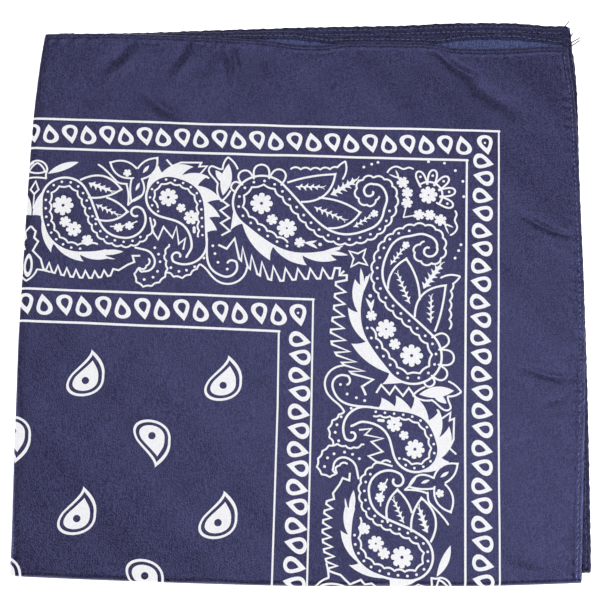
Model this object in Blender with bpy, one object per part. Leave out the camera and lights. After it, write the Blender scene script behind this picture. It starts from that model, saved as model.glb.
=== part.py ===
"""A square satin bandana with four narrow sewn hems, folded in quarters and lying flat.

The cloth lies in four layers. From the top down they are: front (printed side up), second
(printed side down), third (printed side up) and back (printed side down). Front and second
are joined by the left fold, third and back by the same fold under it. Front and back are
joined by the bottom fold, and second and third by a shorter fold nested inside that one.
The top and right edges are open, so four hems show there, one past the other.

The origin is the middle of the underside. +X points to the open side, +Y to the open top, +Z up.
"""

import math

import bpy

MM = 0.001

# The folded cloth's middle in the tables below, which becomes the origin, in millimetres
CENTRE = (-1.312, 0.929)

# Thicknesses and clearances, in millimetres
WALL = 1.0  # one layer of cloth
GAP = 0.3  # between a piece and its neighbour
HEM = 4.0  # width of the turned and stitched hem
HEM_CROWN = 0.3  # how far the front hem stands proud of its layer
ROLL = 6.5  # how far in from a fold the cloth starts to turn down
NESTED_ROLL = 4.6  # the same for the fold inside
GROOVE = 7.0  # how far the gap between the second and third layer is cut in

# How finely each layer is divided, across and up
FRONT_CELLS = 30
INNER_CELLS = 16
BACK_CELLS = 16

Z_BACK = 0.0
Z_THIRD = Z_BACK + WALL + GAP
Z_SECOND = Z_THIRD + WALL + GAP
Z_FRONT = Z_SECOND + WALL + GAP
Z_TOP = Z_FRONT + WALL
MIDDLE = Z_TOP / 2  # height at which the front and back rolls meet

# Open top edge: how far up each layer's hem reaches, at stations across
TOP_EDGE = {
    "at": (-141, -115, -86, -60, -40, -26, -12, 0, 6, 12, 20, 34, 50, 60, 66, 70, 76, 82, 92, 108, 122, 135),
    "front": (
        134.8, 135.9, 136.2, 136.1, 134.6, 132.9, 132.1, 132.2, 132.6, 133.7, 134.8, 135.2, 135.5, 135.6, 135.1, 134.2,
        133.7, 133.9, 134.2, 134.7, 135.1, 135.5,
    ),
    "second": (
        134.8, 136.2, 137.4, 138.6, 139.8, 140.3, 140.9, 139.9, 139.2, 139.4, 140.3, 140.9, 141.3, 141.4, 141.2, 141.4,
        142.6, 143.4, 143.9, 144.8, 144.9, 144.7,
    ),
    "third": (
        135.9, 137.0, 138.0, 139.4, 140.5, 141.1, 141.8, 142.3, 142.6, 142.8, 143.1, 143.8, 144.7, 145.5, 145.9, 146.2,
        146.6, 146.9, 147.5, 147.9, 147.5, 147.8,
    ),
    "back": (
        135.9, 137.5, 139.2, 141.1, 142.5, 143.4, 144.4, 145.1, 145.5, 145.8, 146.2, 146.9, 147.9, 148.8, 149.3, 149.6,
        150.0, 150.3, 150.7, 150.9, 150.1, 150.2,
    ),
}
# Open right edge: how far right each layer's hem reaches, at stations up
RIGHT_EDGE = {
    "at": (-149, -125, -90, -45, 3, 35, 68, 101, 116, 127, 149),
    "front": (136.4, 137.4, 138.6, 140.2, 140.5, 139.8, 138.9, 137.7, 136.3, 134.7, 133.8),
    "second": (141.4, 141.6, 141.6, 141.4, 140.7, 139.9, 139.3, 139.0, 138.4, 137.1, 135.4),
    "third": (141.6, 141.8, 141.7, 141.5, 140.8, 140.0, 139.5, 139.3, 138.9, 137.6, 135.6),
    "back": (136.5, 137.8, 138.9, 139.9, 140.0, 139.5, 139.4, 139.2, 138.7, 137.4, 135.6),
}
# Folds: the outside of the left fold at stations up, and the two bottom folds at stations across
LEFT_FOLD = {
    "at": (-149, -135, -106, -86, -61, -31, 0, 32, 60, 81, 98, 120, 135),
    "outer": (-139.3, -139.5, -140.7, -141.6, -142.4, -143.5, -143.9, -144.3, -144.4, -144.4, -143.9, -142.7, -141.3),
}
BOTTOM_FOLD = {
    "at": (-139, -96, -47, 1, 49, 88, 117, 141),
    "outer": (-148.1, -148.7, -149.0, -148.8, -147.4, -146.3, -144.7, -143.1),
    "nested": (-141.5, -141.7, -141.8, -141.4, -140.6, -139.7, -138.8, -137.8),
}
# The largest creases of the top layer: a soft trough or ridge between two points
CREASES = (
    # from x, from y, to x, to y, half width, height
    (-110, 110, -100, 120, 5.0, -0.4),
    (-75, 110, -62, 131, 6.0, 0.5),
    (66, 130, 104, 104, 7.0, 0.6),
    (100, 42, 119, 37, 6.0, -0.4),
    (110, -42, 137, -43, 6.0, 0.5),
    (98, -134, 118, -136, 4.0, -0.3),
)

COLOURS = {
    # name: red, green, blue, roughness
    "navy_satin": (0.060, 0.056, 0.135, 0.50),
    "navy_hem": (0.048, 0.046, 0.115, 0.58),
    "navy_reverse": (0.075, 0.085, 0.180, 0.55),
}


def along(table, column, at):
    """Smooth reading of a table's column between its stations."""
    xs, ys = table["at"], table[column]
    if at <= xs[0]:
        return ys[0]
    if at >= xs[-1]:
        return ys[-1]
    i = max(k for k in range(len(xs) - 1) if xs[k] <= at)

    def slope(k):
        if k == 0 or k == len(xs) - 1:
            j = min(k, len(xs) - 2)
            return (ys[j + 1] - ys[j]) / (xs[j + 1] - xs[j])
        return (ys[k + 1] - ys[k - 1]) / (xs[k + 1] - xs[k - 1])

    step = xs[i + 1] - xs[i]
    t = (at - xs[i]) / step
    a, b = slope(i) * step, slope(i + 1) * step
    return (
        ys[i] * (2 * t**3 - 3 * t**2 + 1)
        + a * (t**3 - 2 * t**2 + t)
        + ys[i + 1] * (3 * t**2 - 2 * t**3)
        + b * (t**3 - t**2)
    )


def relief(x, y):
    """Height that the creases add to the top layer."""
    total = 0.0
    for x0, y0, x1, y1, half, height in CREASES:
        dx, dy = x1 - x0, y1 - y0
        length = math.hypot(dx, dy)
        t = ((x - x0) * dx + (y - y0) * dy) / length**2
        off = ((x - x0) * dy - (y - y0) * dx) / length
        past = max(0.0, -t, t - 1) * length
        total += height * math.exp(-((off / half) ** 2) - (past / (1.6 * half)) ** 2)
    return total


def place(layer, s, t, bottom="outer", inset=0.0):
    """The point of a layer at s across from the left fold and t up from the bottom fold."""
    left = along(LEFT_FOLD, "outer", -149 + 284 * t) + inset
    x = left + s * (along(RIGHT_EDGE, layer, -149 + 290 * t) - left)
    low = along(BOTTOM_FOLD, bottom, x) + (inset if bottom == "outer" else 0.0)
    y = low + t * (along(TOP_EDGE, layer, x) - low)
    left = along(LEFT_FOLD, "outer", y) + inset
    x = left + s * (along(RIGHT_EDGE, layer, y) - left)
    return x, y


def spread(low, high, count):
    return [low + (high - low) * i / count for i in range(count + 1)]


def part(name, points, faces, colour):
    mesh = bpy.data.meshes.new(name)
    moved = [((x - CENTRE[0]) * MM, (y - CENTRE[1]) * MM, z * MM) for x, y, z in points]
    mesh.from_pydata(moved, [], faces)
    mesh.update()
    mesh.materials.append(MATERIALS[colour])
    mesh.shade_smooth()
    mesh.set_sharp_from_angle(angle=math.radians(35))
    obj = bpy.data.objects.new(name, mesh)
    bpy.context.scene.collection.objects.link(obj)
    return obj


def shell(name, upper, lower, colour):
    """A closed wall between two grids of points, of which upper lies above lower."""
    rows, columns = len(upper), len(upper[0])
    points = [p for row in upper for p in row] + [p for row in lower for p in row]
    shift = rows * columns

    def at(i, j):
        return i * columns + j

    faces = []
    for i in range(rows - 1):
        for j in range(columns - 1):
            quad = (at(i, j), at(i + 1, j), at(i + 1, j + 1), at(i, j + 1))
            faces.append(quad)
            faces.append(tuple(k + shift for k in quad[::-1]))
    rim = [at(0, j) for j in range(columns)]
    rim += [at(i, columns - 1) for i in range(1, rows)]
    rim += [at(rows - 1, j) for j in range(columns - 2, -1, -1)]
    rim += [at(i, 0) for i in range(rows - 2, 0, -1)]
    for a, b in zip(rim, rim[1:] + rim[:1]):
        faces.append((a, b, b + shift, a + shift))
    return part(name, points, faces, colour)


def rolled(layer, across, up, turns, top):
    """Outer and inner point grids of a layer that turns down (or, for the back, up) at both folds.

    across and up are shares of the way from the folds' start to the open edges. The first
    turns rows and columns run round the fold, from where the two rolls meet to the flat.
    """
    outer, inner = [], []
    for i in range(-turns, len(across)):
        outer_row, inner_row = [], []
        for j in range(-turns, len(up)):
            x, y = place(layer, across[max(i, 0)], up[max(j, 0)], inset=ROLL)
            a, b = max(0, -i), max(0, -j)
            step = max(a, b)
            if a and b:
                small = math.pi / 4 * min(a, b) / step
                turn = small if b <= a else math.pi / 2 - small
            else:
                turn = 0.0 if a else math.pi / 2
            rise = relief(x, y) if top else 0.0
            for radius, height, row in (
                (ROLL, MIDDLE, outer_row),
                (ROLL - WALL, MIDDLE - WALL, inner_row),
            ):
                end = math.acos((GAP / 2) / height)
                angle = end * step / turns
                away = radius * math.sin(angle)
                z = height * math.cos(angle)
                z = MIDDLE + z + (rise * (1 - step / turns)) if top else MIDDLE - z
                row.append((x - away * math.cos(turn), y - away * math.sin(turn), z))
        outer.append(outer_row)
        inner.append(inner_row)
    return (outer, inner) if top else (inner, outer)


def edge_share(layer, width):
    """How far across and up the cloth the open hems' inner sides lie, as shares."""
    return 1 - width / 274.0, 1 - width / 277.0


def panel(name, layer, cells, turns, top, colour):
    s_end, t_end = edge_share(layer, HEM + GAP)
    upper, lower = rolled(layer, spread(0, s_end, cells), spread(0, t_end, cells), turns, top)
    return shell(name, upper, lower, colour)


def crown(q, amount):
    """Profile across a hem: full in the middle and thinner at its two sides."""
    return amount * math.sin(math.pi * q) - 0.25 * (1 - math.sin(math.pi * q)) ** 2


def hem_of_rolled(name, layer, side, cells, top, turns, colour):
    """A hem of the front or back layer, which goes round the fold with its panel."""
    s_in, t_in = edge_share(layer, HEM)
    s_stop, t_stop = edge_share(layer, HEM + GAP)
    q_steps = (0.0, 0.25, 0.75, 1.0)
    if side == "top":
        across = spread(0, s_stop, cells) + [1.0]
        up = [t_in + (1 - t_in) * q for q in q_steps]
        upper, lower = rolled(layer, across, up, turns, top)
        upper = [row[turns:] for row in upper]
        lower = [row[turns:] for row in lower]
    else:
        across = [s_in + (1 - s_in) * q for q in q_steps]
        up = spread(0, t_stop, cells)
        upper, lower = rolled(layer, across, up, turns, top)
        upper, lower = upper[turns:], lower[turns:]
    for i, row in enumerate(upper):
        for j, (x, y, z) in enumerate(row):
            q = q_steps[j] if side == "top" else q_steps[i]
            flat = (i >= turns) if side == "top" else (j >= turns)
            if flat:
                row[j] = (x, y, z + crown(q, HEM_CROWN if top else 0.0))
    return shell(name, upper, lower, colour)


def hem_of_inner(name, layer, side, cells, z_low, colour):
    """A hem of the second or third layer, which lies flat past the layer above it."""
    s_in, t_in = edge_share(layer, HEM)
    s_out, t_out = edge_share(layer, HEM + GAP)
    q_steps = (0.0, 0.25, 0.75, 1.0)
    if side == "top":
        across = spread(0, s_out, cells) + [1.0]
        up = [t_in + (1 - t_in) * q for q in q_steps]
    else:
        across = [s_in + (1 - s_in) * q for q in q_steps]
        up = spread(0, t_out, cells)
    upper, lower = [], []
    for i, s in enumerate(across):
        flats = [place(layer, s, t, bottom="nested", inset=ROLL) for t in up]
        heights = [crown(q_steps[j] if side == "top" else q_steps[i], 0.0) for j in range(len(up))]
        upper.append([(x, y, z_low + WALL + h) for (x, y), h in zip(flats, heights)])
        lower.append([(x, y, z_low) for x, y in flats])
    return shell(name, upper, lower, colour)


def inner_layers(name, cells, colour):
    """The second and third layers as one rounded solid, with a groove between them at the open edges."""
    s2, t2 = edge_share("second", HEM + GAP)
    s3, t3 = edge_share("third", HEM + GAP)
    n = cells
    rings = 6

    def flat(layer, i, j):
        s_end, t_end = (s2, t2) if layer == "second" else (s3, t3)
        return place(layer, s_end * i / n, t_end * j / n, bottom="nested", inset=ROLL)

    points, faces = [], []

    def add(x, y, z):
        points.append((x, y, z))
        return len(points) - 1

    z_up, z_down = Z_SECOND + WALL, Z_THIRD
    upper = {}
    lower = {}
    for i in range(n + 1):
        for j in range(n + 1):
            x, y = flat("second", i, j)
            lift = min(0.0, relief(x, y)) if 0 < i < n and 0 < j < n else 0.0
            upper[i, j] = add(x, y, z_up + lift)
            x, y = flat("third", i, j)
            lower[i, j] = add(x, y, z_down)
    for i in range(n):
        for j in range(n):
            faces.append((upper[i, j], upper[i + 1, j], upper[i + 1, j + 1], upper[i, j + 1]))
            faces.append((lower[i, j], lower[i, j + 1], lower[i + 1, j + 1], lower[i + 1, j]))
    loop = [(i, 0) for i in range(n)] + [(n, j) for j in range(n)]
    loop += [(i, n) for i in range(n, 0, -1)] + [(0, j) for j in range(n, 0, -1)]
    half = (z_up - z_down) / 2
    centre = (z_up + z_down) / 2
    ring_rows = [[upper[k] for k in loop]]
    for r in range(1, rings):
        row = []
        for i, j in loop:
            xu, yu = flat("second", i, j)
            xl, yl = flat("third", i, j)
            open_side = (i == n or j == n) and not (i == 0 or j == 0)
            if open_side:
                # down the second layer's edge, into the groove, and out to the third layer's edge
                shift, z = (
                    (0.0, Z_SECOND),
                    (-GROOVE, Z_SECOND),
                    (-GROOVE, Z_THIRD + WALL),
                    (0.0, Z_THIRD + WALL),
                    (0.0, Z_THIRD + WALL / 2),
                )[r - 1]
                share = (0.0, 0.0, 1.0, 1.0, 1.0)[r - 1]
                ox = 1.0 if i == n else 0.0
                oy = 1.0 if j == n else 0.0
                row.append(
                    add(
                        xu + (xl - xu) * share + shift * ox,
                        yu + (yl - yu) * share + shift * oy,
                        z,
                    )
                )
            else:
                angle = math.pi * r / rings
                share = r / rings
                away = NESTED_ROLL * math.sin(angle)
                ox = -1.0 if i == 0 else 0.0
                oy = -1.0 if j == 0 else 0.0
                if ox and oy:
                    ox, oy = ox * 0.7071, oy * 0.7071
                if i == 0:
                    reach_x = away
                else:
                    reach_x = 0.0
                reach_y = min(away, 2.4) if j == 0 else 0.0
                row.append(
                    add(
                        xu + (xl - xu) * share + ox * reach_x,
                        yu + (yl - yu) * share + oy * reach_y,
                        centre + half * math.cos(angle),
                    )
                )
        ring_rows.append(row)
    ring_rows.append([lower[k] for k in loop])
    count = len(loop)
    for first, second in zip(ring_rows, ring_rows[1:]):
        for k in range(count):
            m = (k + 1) % count
            faces.append((first[k], second[k], second[m], first[m]))
    return part(name, points, faces, colour)


for old in list(bpy.data.objects):
    bpy.data.objects.remove(old, do_unlink=True)

MATERIALS = {}
for label, (red, green, blue, rough) in COLOURS.items():
    material = bpy.data.materials.new(label)
    material.use_nodes = True
    shader = material.node_tree.nodes["Principled BSDF"]
    shader.inputs["Base Color"].default_value = (red, green, blue, 1.0)
    shader.inputs["Roughness"].default_value = rough
    shader.inputs["Metallic"].default_value = 0.0
    material.diffuse_color = (red, green, blue, 1.0)
    MATERIALS[label] = material

panel("panel_front", "front", FRONT_CELLS, 4, True, "navy_satin")
inner_layers("panels_inner", INNER_CELLS, "navy_reverse")
panel("panel_back", "back", BACK_CELLS, 4, False, "navy_satin")
for edge in ("top", "right"):
    hem_of_rolled("hem_front_" + edge, "front", edge, FRONT_CELLS, True, 4, "navy_hem")
    hem_of_inner("hem_second_" + edge, "second", edge, INNER_CELLS, Z_SECOND, "navy_hem")
    hem_of_inner("hem_third_" + edge, "third", edge, INNER_CELLS, Z_THIRD, "navy_hem")
    hem_of_rolled("hem_back_" + edge, "back", edge, BACK_CELLS, False, 4, "navy_hem")
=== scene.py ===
"""The looks of a square satin bandana, folded in quarters and lying flat.

One printed square is folded left over right and then bottom under top, so it lies in four layers:
front (print up), second (reverse up), third (print up) and back (print down). Every layer is a thin
shell that goes round its folds, and the print runs on over them. Sizes below are in millimetres.
"""

import math

import bpy
import numpy as np
from mathutils import Matrix
from mathutils.geometry import delaunay_2d_cdt


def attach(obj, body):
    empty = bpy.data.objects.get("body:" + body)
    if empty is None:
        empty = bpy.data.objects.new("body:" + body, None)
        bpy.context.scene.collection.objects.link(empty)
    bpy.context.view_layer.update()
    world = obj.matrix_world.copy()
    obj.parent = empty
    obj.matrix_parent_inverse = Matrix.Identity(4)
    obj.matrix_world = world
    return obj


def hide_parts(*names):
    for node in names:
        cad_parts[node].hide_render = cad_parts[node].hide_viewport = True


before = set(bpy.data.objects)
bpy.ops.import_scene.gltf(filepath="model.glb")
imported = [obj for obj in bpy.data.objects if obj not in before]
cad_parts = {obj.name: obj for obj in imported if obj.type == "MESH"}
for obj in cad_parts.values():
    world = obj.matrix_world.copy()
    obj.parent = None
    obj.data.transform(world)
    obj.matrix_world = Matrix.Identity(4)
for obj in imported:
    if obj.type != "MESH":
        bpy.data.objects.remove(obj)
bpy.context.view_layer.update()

MM = 0.001
# The folded cloth's middle in the tables below, which is the origin
CENTRE = np.array([-1.312, 0.929, 0.0])

# ---- the folded cloth ----
THICK = 0.22  # the satin itself
HEM = 4.1  # width of the turned and stitched hem
STITCH_IN = 2.3  # how far in from the edge the stitches run
PITCH = 2.7  # from one stitch to the next
TOP_Z, MIDDLE = 4.78, 2.45  # middle of the front layer, and height about which front and back fold
ROUND = TOP_Z - MIDDLE  # radius of the bottom fold
SECOND_Z, THIRD_Z = 2.90, 2.00  # middles of the second and third layers
REACH, HALF = 5.0, 1.14  # the left fold: how far in it starts to turn down, and half its height
TUCK = 6.5  # how far the front and back cloths go on past the left fold, between the layers
SEAM = math.radians(104)  # where on the bottom fold the front piece ends and the back piece begins

# Open top edge: how far up each layer reaches, at stations across
TOP_EDGE = {
    "at": (-141, -115, -86, -60, -40, -26, -12, 0, 6, 12, 20, 34, 50, 60, 66, 70, 76, 82, 92, 108, 122, 135),
    "front": (
        134.8, 135.9, 136.2, 136.1, 135.4, 135.0, 133.2, 132.9, 133.3, 134.5, 135.6, 135.9, 136.2, 136.2, 135.5, 134.4,
        133.7, 133.7, 133.8, 134.9, 136.3, 136.5,
    ),
    "second": (
        134.8, 136.2, 137.4, 138.6, 139.8, 140.3, 140.8, 139.7, 138.9, 139.0, 139.8, 140.3, 140.6, 140.6, 140.6, 141.2,
        142.4, 143.2, 144.0, 144.2, 142.7, 141.6,
    ),
    "third": (
        135.9, 137.0, 138.0, 139.4, 140.5, 141.1, 141.8, 142.3, 142.6, 142.8, 143.1, 143.8, 144.7, 145.5, 145.9, 146.2,
        146.6, 146.9, 147.5, 147.9, 147.5, 147.8,
    ),
    "back": (
        135.9, 137.5, 139.2, 141.1, 142.5, 143.4, 144.4, 145.1, 145.5, 145.8, 146.2, 146.9, 147.9, 148.8, 149.3, 149.6,
        150.0, 150.3, 150.7, 150.9, 150.1, 150.2,
    ),
}
# Open right edge: how far right each layer reaches, at stations up
RIGHT_EDGE = {
    "at": (-149, -125, -90, -45, 3, 35, 68, 101, 116, 127, 149),
    "front": (136.4, 137.4, 138.6, 140.2, 140.5, 139.8, 138.9, 137.7, 136.3, 134.7, 133.8),
    "second": (141.4, 141.6, 141.6, 141.4, 140.7, 139.9, 139.3, 139.0, 138.4, 137.1, 135.4),
    "third": (141.6, 141.8, 141.7, 141.5, 140.8, 140.0, 139.5, 139.3, 138.9, 137.6, 135.6),
    "back": (136.5, 137.8, 138.9, 139.9, 140.0, 139.5, 139.4, 139.2, 138.7, 137.4, 135.6),
}
LEFT_FOLD = {
    "at": (-149, -135, -106, -86, -61, -31, 0, 32, 60, 81, 98, 120, 135),
    "outer": (-139.3, -139.5, -140.7, -141.6, -142.4, -143.5, -143.9, -144.3, -144.4, -144.4, -143.9, -142.7, -141.3),
}
BOTTOM_FOLD = {
    "at": (-139, -96, -47, 1, 49, 88, 117, 141),
    "outer": (-148.1, -148.7, -149.0, -148.8, -147.4, -146.3, -144.7, -143.1),
    "nested": (-141.5, -141.7, -141.8, -141.4, -140.6, -139.7, -138.8, -137.8),
}
# Creases of the front layer, soft troughs (-) and ridges (+) between two points
CREASES = (
    # from x, from y, to x, to y, half width, height
    (-46.4, 128.5, -45.0, 112.5, 3.4, 0.50),
    (-38.2, 129.0, -36.8, 119.0, 1.1, -0.28),
    (-25.2, 126.0, -24.4, 117.5, 1.6, -0.35),
    (-84.5, 101.0, -71.0, 91.5, 2.9, -0.80),
    (-126.0, 107.0, -112.0, 97.0, 4.4, -0.45),
    (-57.0, 124.0, -55.5, 111.0, 3.0, -0.40),
    (66.5, 130.0, 84.0, 118.5, 2.0, -0.95),
    (79.0, 121.0, 101.0, 103.0, 4.2, -1.00),
    (112.0, 41.0, 132.0, 32.5, 1.7, -0.70),
    (112.0, -38.5, 133.0, -42.3, 2.1, -0.56),
    (122.0, -55.0, 130.0, -51.5, 1.6, -0.40),
    (126.0, -122.0, 132.6, -117.8, 2.2, -0.36),
    (102.1, -136.2, 124.3, -138.6, 2.4, -0.46),
)
# Folds that lean over: the cloth steps up to the right of the way from one point to the other
STEPS = (
    # from x, from y, to x, to y, half width, height
    (-105.5, 116.0, -96.0, 126.5, 4.2, 1.40),
    (-72.0, 116.0, -66.0, 127.0, 3.8, 1.25),
    (-41.6, 114.0, -43.2, 128.0, 2.3, 1.25),
)
# Broad waves of cloth that doesn't lie quite flat: height, lengths across and up, and where they begin
WAVES = (
    (0.16, 83.0, 61.0, 0.4),
    (0.11, -47.0, 72.0, 1.9),
    (0.09, 39.0, -55.0, 4.1),
    (0.06, 27.0, 31.0, 2.6),
    (0.05, -22.0, 37.0, 5.2),
)


def along(table, column, at):
    """Smooth reading of a table's column between its stations."""
    xs, ys = np.array(table["at"], float), np.array(table[column], float)
    slopes = np.gradient(ys, xs)
    slopes[1:-1] = (ys[2:] - ys[:-2]) / (xs[2:] - xs[:-2])
    at = np.clip(np.asarray(at, float), xs[0], xs[-1])
    i = np.clip(np.searchsorted(xs, at, side="right") - 1, 0, len(xs) - 2)
    step = xs[i + 1] - xs[i]
    t = (at - xs[i]) / step
    # the sewn edges pucker a little from stitch to stitch
    pucker = {"front": 0.06, "second": 0.08, "third": 0.09, "back": 0.12}.get(column, 0.0)
    begin = len(column) + (2.0 if table is RIGHT_EDGE else 0.0)
    small = pucker * (np.sin(at / 0.97 + begin) + 0.7 * np.sin(at / 0.61 + 2 * begin) + 0.7 * np.sin(at / 2.1 - begin))
    return small + (
        ys[i] * (2 * t**3 - 3 * t**2 + 1)
        + slopes[i] * step * (t**3 - 2 * t**2 + t)
        + ys[i + 1] * (3 * t**2 - 2 * t**3)
        + slopes[i + 1] * step * (t**3 - t**2)
    )


def ramp(x, low, high):
    """0 below low, 1 above high and smooth between."""
    t = np.clip((x - low) / (high - low), 0, 1)
    return t * t * (3 - 2 * t)


def creases(x, y):
    total = np.zeros_like(x)
    for x0, y0, x1, y1, half, height in CREASES:
        dx, dy = x1 - x0, y1 - y0
        length = math.hypot(dx, dy)
        t = ((x - x0) * dx + (y - y0) * dy) / length**2
        bow = 0.06 * length * np.clip(t, 0, 1) * np.clip(1 - t, 0, 1) * 4
        off = ((x - x0) * dy - (y - y0) * dx) / length - bow
        past = np.maximum(0, np.maximum(-t, t - 1)) * length
        fade = 0.55 + 0.45 * np.cos(np.clip(t - 0.5, -0.5, 0.5) * math.pi)
        total += height * fade * np.exp(-((off / half) ** 2) - (past / (1.8 * half)) ** 2)
    for x0, y0, x1, y1, half, height in STEPS:
        dx, dy = x1 - x0, y1 - y0
        length = math.hypot(dx, dy)
        t = ((x - x0) * dx + (y - y0) * dy) / length**2
        off = ((x - x0) * dy - (y - y0) * dx) / length - 0.24 * length * (np.clip(t, 0, 1) * np.clip(1 - t, 0, 1) - 0.1)
        past = np.maximum(0, np.maximum(-t, t - 1)) * length
        fade = 0.45 + 0.55 * np.cos(np.clip(t - 0.6, -0.5, 0.5) * math.pi)
        total += height * fade * off / half * np.exp(-((off / half) ** 2) - (past / (1.5 * half)) ** 2)
    return total


def waves(x, y):
    total = np.zeros_like(x)
    for height, across, up, begin in WAVES:
        total += height * np.sin(2 * math.pi * (x / across + y / up) + begin)
    return total


def hem_rise(d, s):
    """Height of a layer's face over a hem turned under it; d is how far in, s how far along."""
    rise = 0.20 * (1 - ramp(d, HEM - 0.5, HEM + 0.7))
    pull = 0.62 + 0.38 * np.cos(2 * math.pi * s / PITCH)
    rise -= 0.24 * pull * np.exp(-(((d - STITCH_IN) / 0.46) ** 2))
    rise += 0.15 * np.exp(-(((d - 4.3) / 1.8) ** 2)) * np.sin(s / 1.05 + 2.2 * np.sin(s / 7.7)) * (0.6 + 0.4 * np.sin(s / 12.1))
    edge = np.clip(1 - d / 0.8, 0, 1)
    return rise - 0.30 * (1 - np.sqrt(np.clip(1 - edge**2, 0, 1))) - 0.40 * np.clip(1 - d / 2.7, 0, 1) ** 2


def edge_waves(s):
    """How the loose edges lift and sink along their length."""
    return 0.10 * np.sin(s / 11.3 + 0.8) + 0.07 * np.sin(s / 5.1 + 2.0) + 0.05 * np.sin(s / 2.9)


def left_profile():
    """The left fold as distances along the cloth, how far left it has gone and how far down."""
    a = np.linspace(0, math.pi, 361)
    n = 2 / 2.25
    gone = REACH * np.sin(a) ** n
    down = -HALF * (1 - np.sign(np.cos(a)) * np.abs(np.cos(a)) ** n)
    run = np.concatenate([[0], np.cumsum(np.hypot(np.diff(gone), np.diff(down)))])
    return run, gone, down


RUN, GONE, DOWN = left_profile()


def fold_left(p, q, lift, top):
    """First fold: plan x and height over the layer's middle of a point of the flat cloth, lifted off it."""
    left = along(LEFT_FOLD, "outer", q) + THICK / 2
    start = left + REACH
    run = start - p
    inside = np.clip(run, 0, RUN[-1])
    x = np.where(run <= 0, p, start - np.interp(inside, RUN, GONE) + np.maximum(run - RUN[-1], 0))
    h = np.interp(inside, RUN, DOWN)
    e = 0.02
    tx = -(np.interp(inside + e, RUN, GONE) - np.interp(inside - e, RUN, GONE))
    th = np.interp(inside + e, RUN, DOWN) - np.interp(inside - e, RUN, DOWN)
    flat_start, flat_end = run <= 0, run >= RUN[-1]
    tx = np.where(flat_start, -1.0, np.where(flat_end, 1.0, tx))
    th = np.where(flat_start | flat_end, 0.0, th)
    size = np.maximum(np.hypot(tx, th), 1e-9)
    return x + lift * th / size, h - lift * tx / size, run


def outer_cloth(p, q, lift):
    """Where a point of the flat cloth lies, on the front layer, round the bottom fold or on the back layer."""
    p, q, lift = np.broadcast_arrays(np.asarray(p, float), np.asarray(q, float), np.asarray(lift, float))
    left_q = np.clip(q, -149, 149)
    x, h, run = fold_left(p, left_q, lift, True)
    low = along(BOTTOM_FOLD, "outer", x) + ROUND + THICK / 2
    turn = (low - q) / ROUND
    back = turn > math.pi
    y_flat = np.where(back, low + (turn - math.pi) * ROUND, np.where(turn > 0, low, q))
    # what lies on the front layer only
    front = 1 - ramp(turn, 0.0, 1.0)
    fade = 1 - ramp(run, 1.0, 7.0)
    in_right = along(RIGHT_EDGE, "front", y_flat) - x
    in_top = along(TOP_EDGE, "front", x) - y_flat
    near = np.minimum(in_right, in_top)
    calm = 0.35 + 0.65 * ramp(near, 2.0, 14.0)
    rise = (creases(x, y_flat) + waves(x, y_flat) * calm) * fade
    a, b = hem_rise(in_right, y_flat), hem_rise(in_top, x)
    rise = rise + np.where(in_right < in_top, a + 0.4 * np.maximum(b, 0), b + 0.4 * np.maximum(a, 0)) * fade
    rise = rise + edge_waves(y_flat) * (1 - ramp(in_right, 0.0, 9.0)) + edge_waves(x + 40) * (1 - ramp(in_top, 0.0, 9.0)) * fade
    # the back layer stays flat on the table, but for its open edges
    in_right = along(RIGHT_EDGE, "back", y_flat) - x
    in_top = along(TOP_EDGE, "back", x) - y_flat
    near = np.clip(np.minimum(in_right, in_top), 0, None)
    lifted = 0.05 * (1 - ramp(near, 0.0, 5.0)) * (1 + np.sin(x / 7.0 + y_flat / 9.0))
    h = h + np.where(back, -lifted, rise * front)
    reach = ROUND + h
    y = np.where(turn <= 0, q, np.where(back, y_flat, low - reach * np.sin(turn)))
    z = np.where(turn <= 0, MIDDLE + reach, np.where(back, MIDDLE - reach, MIDDLE + reach * np.cos(turn)))
    return np.stack([x, y, z], axis=-1)


NEST = (SECOND_Z - THIRD_Z) / 2


def inner_cloth(p, q, lift):
    """The same for the second layer, the fold nested inside the bottom one, and the third layer."""
    p, q, lift = np.broadcast_arrays(np.asarray(p, float), np.asarray(q, float), np.asarray(lift, float))
    low = along(BOTTOM_FOLD, "nested", p) + NEST + THICK / 2
    turn = (low - q) / NEST
    back = turn > math.pi
    y_flat = np.where(back, low + (turn - math.pi) * NEST, np.where(turn > 0, low, q))
    reach = NEST + lift
    y = np.where(turn <= 0, q, np.where(back, y_flat, low - reach * np.sin(turn)))
    level = (SECOND_Z + THIRD_Z) / 2
    z = np.where(turn <= 0, level + reach, np.where(back, level - reach, level + reach * np.cos(turn)))
    # the loose edges of the second layer ride up a little where the front layer leaves them free
    near_top = 1 - ramp(along(TOP_EDGE, "second", p) - y_flat, 0.0, 12.0)
    near_right = 1 - ramp(along(RIGHT_EDGE, "second", y_flat) - p, 0.0, 8.0)
    sway = 0.5 * (edge_waves(p * 1.1 + 13) * near_top + edge_waves(y_flat * 0.9 - 21) * near_right)
    return np.stack([p, y, z + np.where(back, 0.4, 1.0) * sway], axis=-1)


# ---- motifs ----
# The print is drawn in millimetres on the flat cloth, with compasses and rulers: u runs left and v
# runs down from the outer corner of its border. Each shape is (loops of ink, loops left bare in it).
INK = []


def even(points, step):
    """The same path with its points a step apart."""
    points = np.asarray(points, float)
    d = np.concatenate([[0], np.cumsum(np.hypot(*np.diff(points, axis=0).T))])
    count = max(3, int(round(d[-1] / step)) + 1)
    at = np.linspace(0, d[-1], count)
    return np.column_stack([np.interp(at, d, points[:, k]) for k in (0, 1)])


def sides(points):
    """Unit normals along a path."""
    d = np.gradient(points, axis=0)
    d /= np.maximum(np.hypot(*d.T), 1e-9)[:, None]
    return np.column_stack([-d[:, 1], d[:, 0]])


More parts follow.
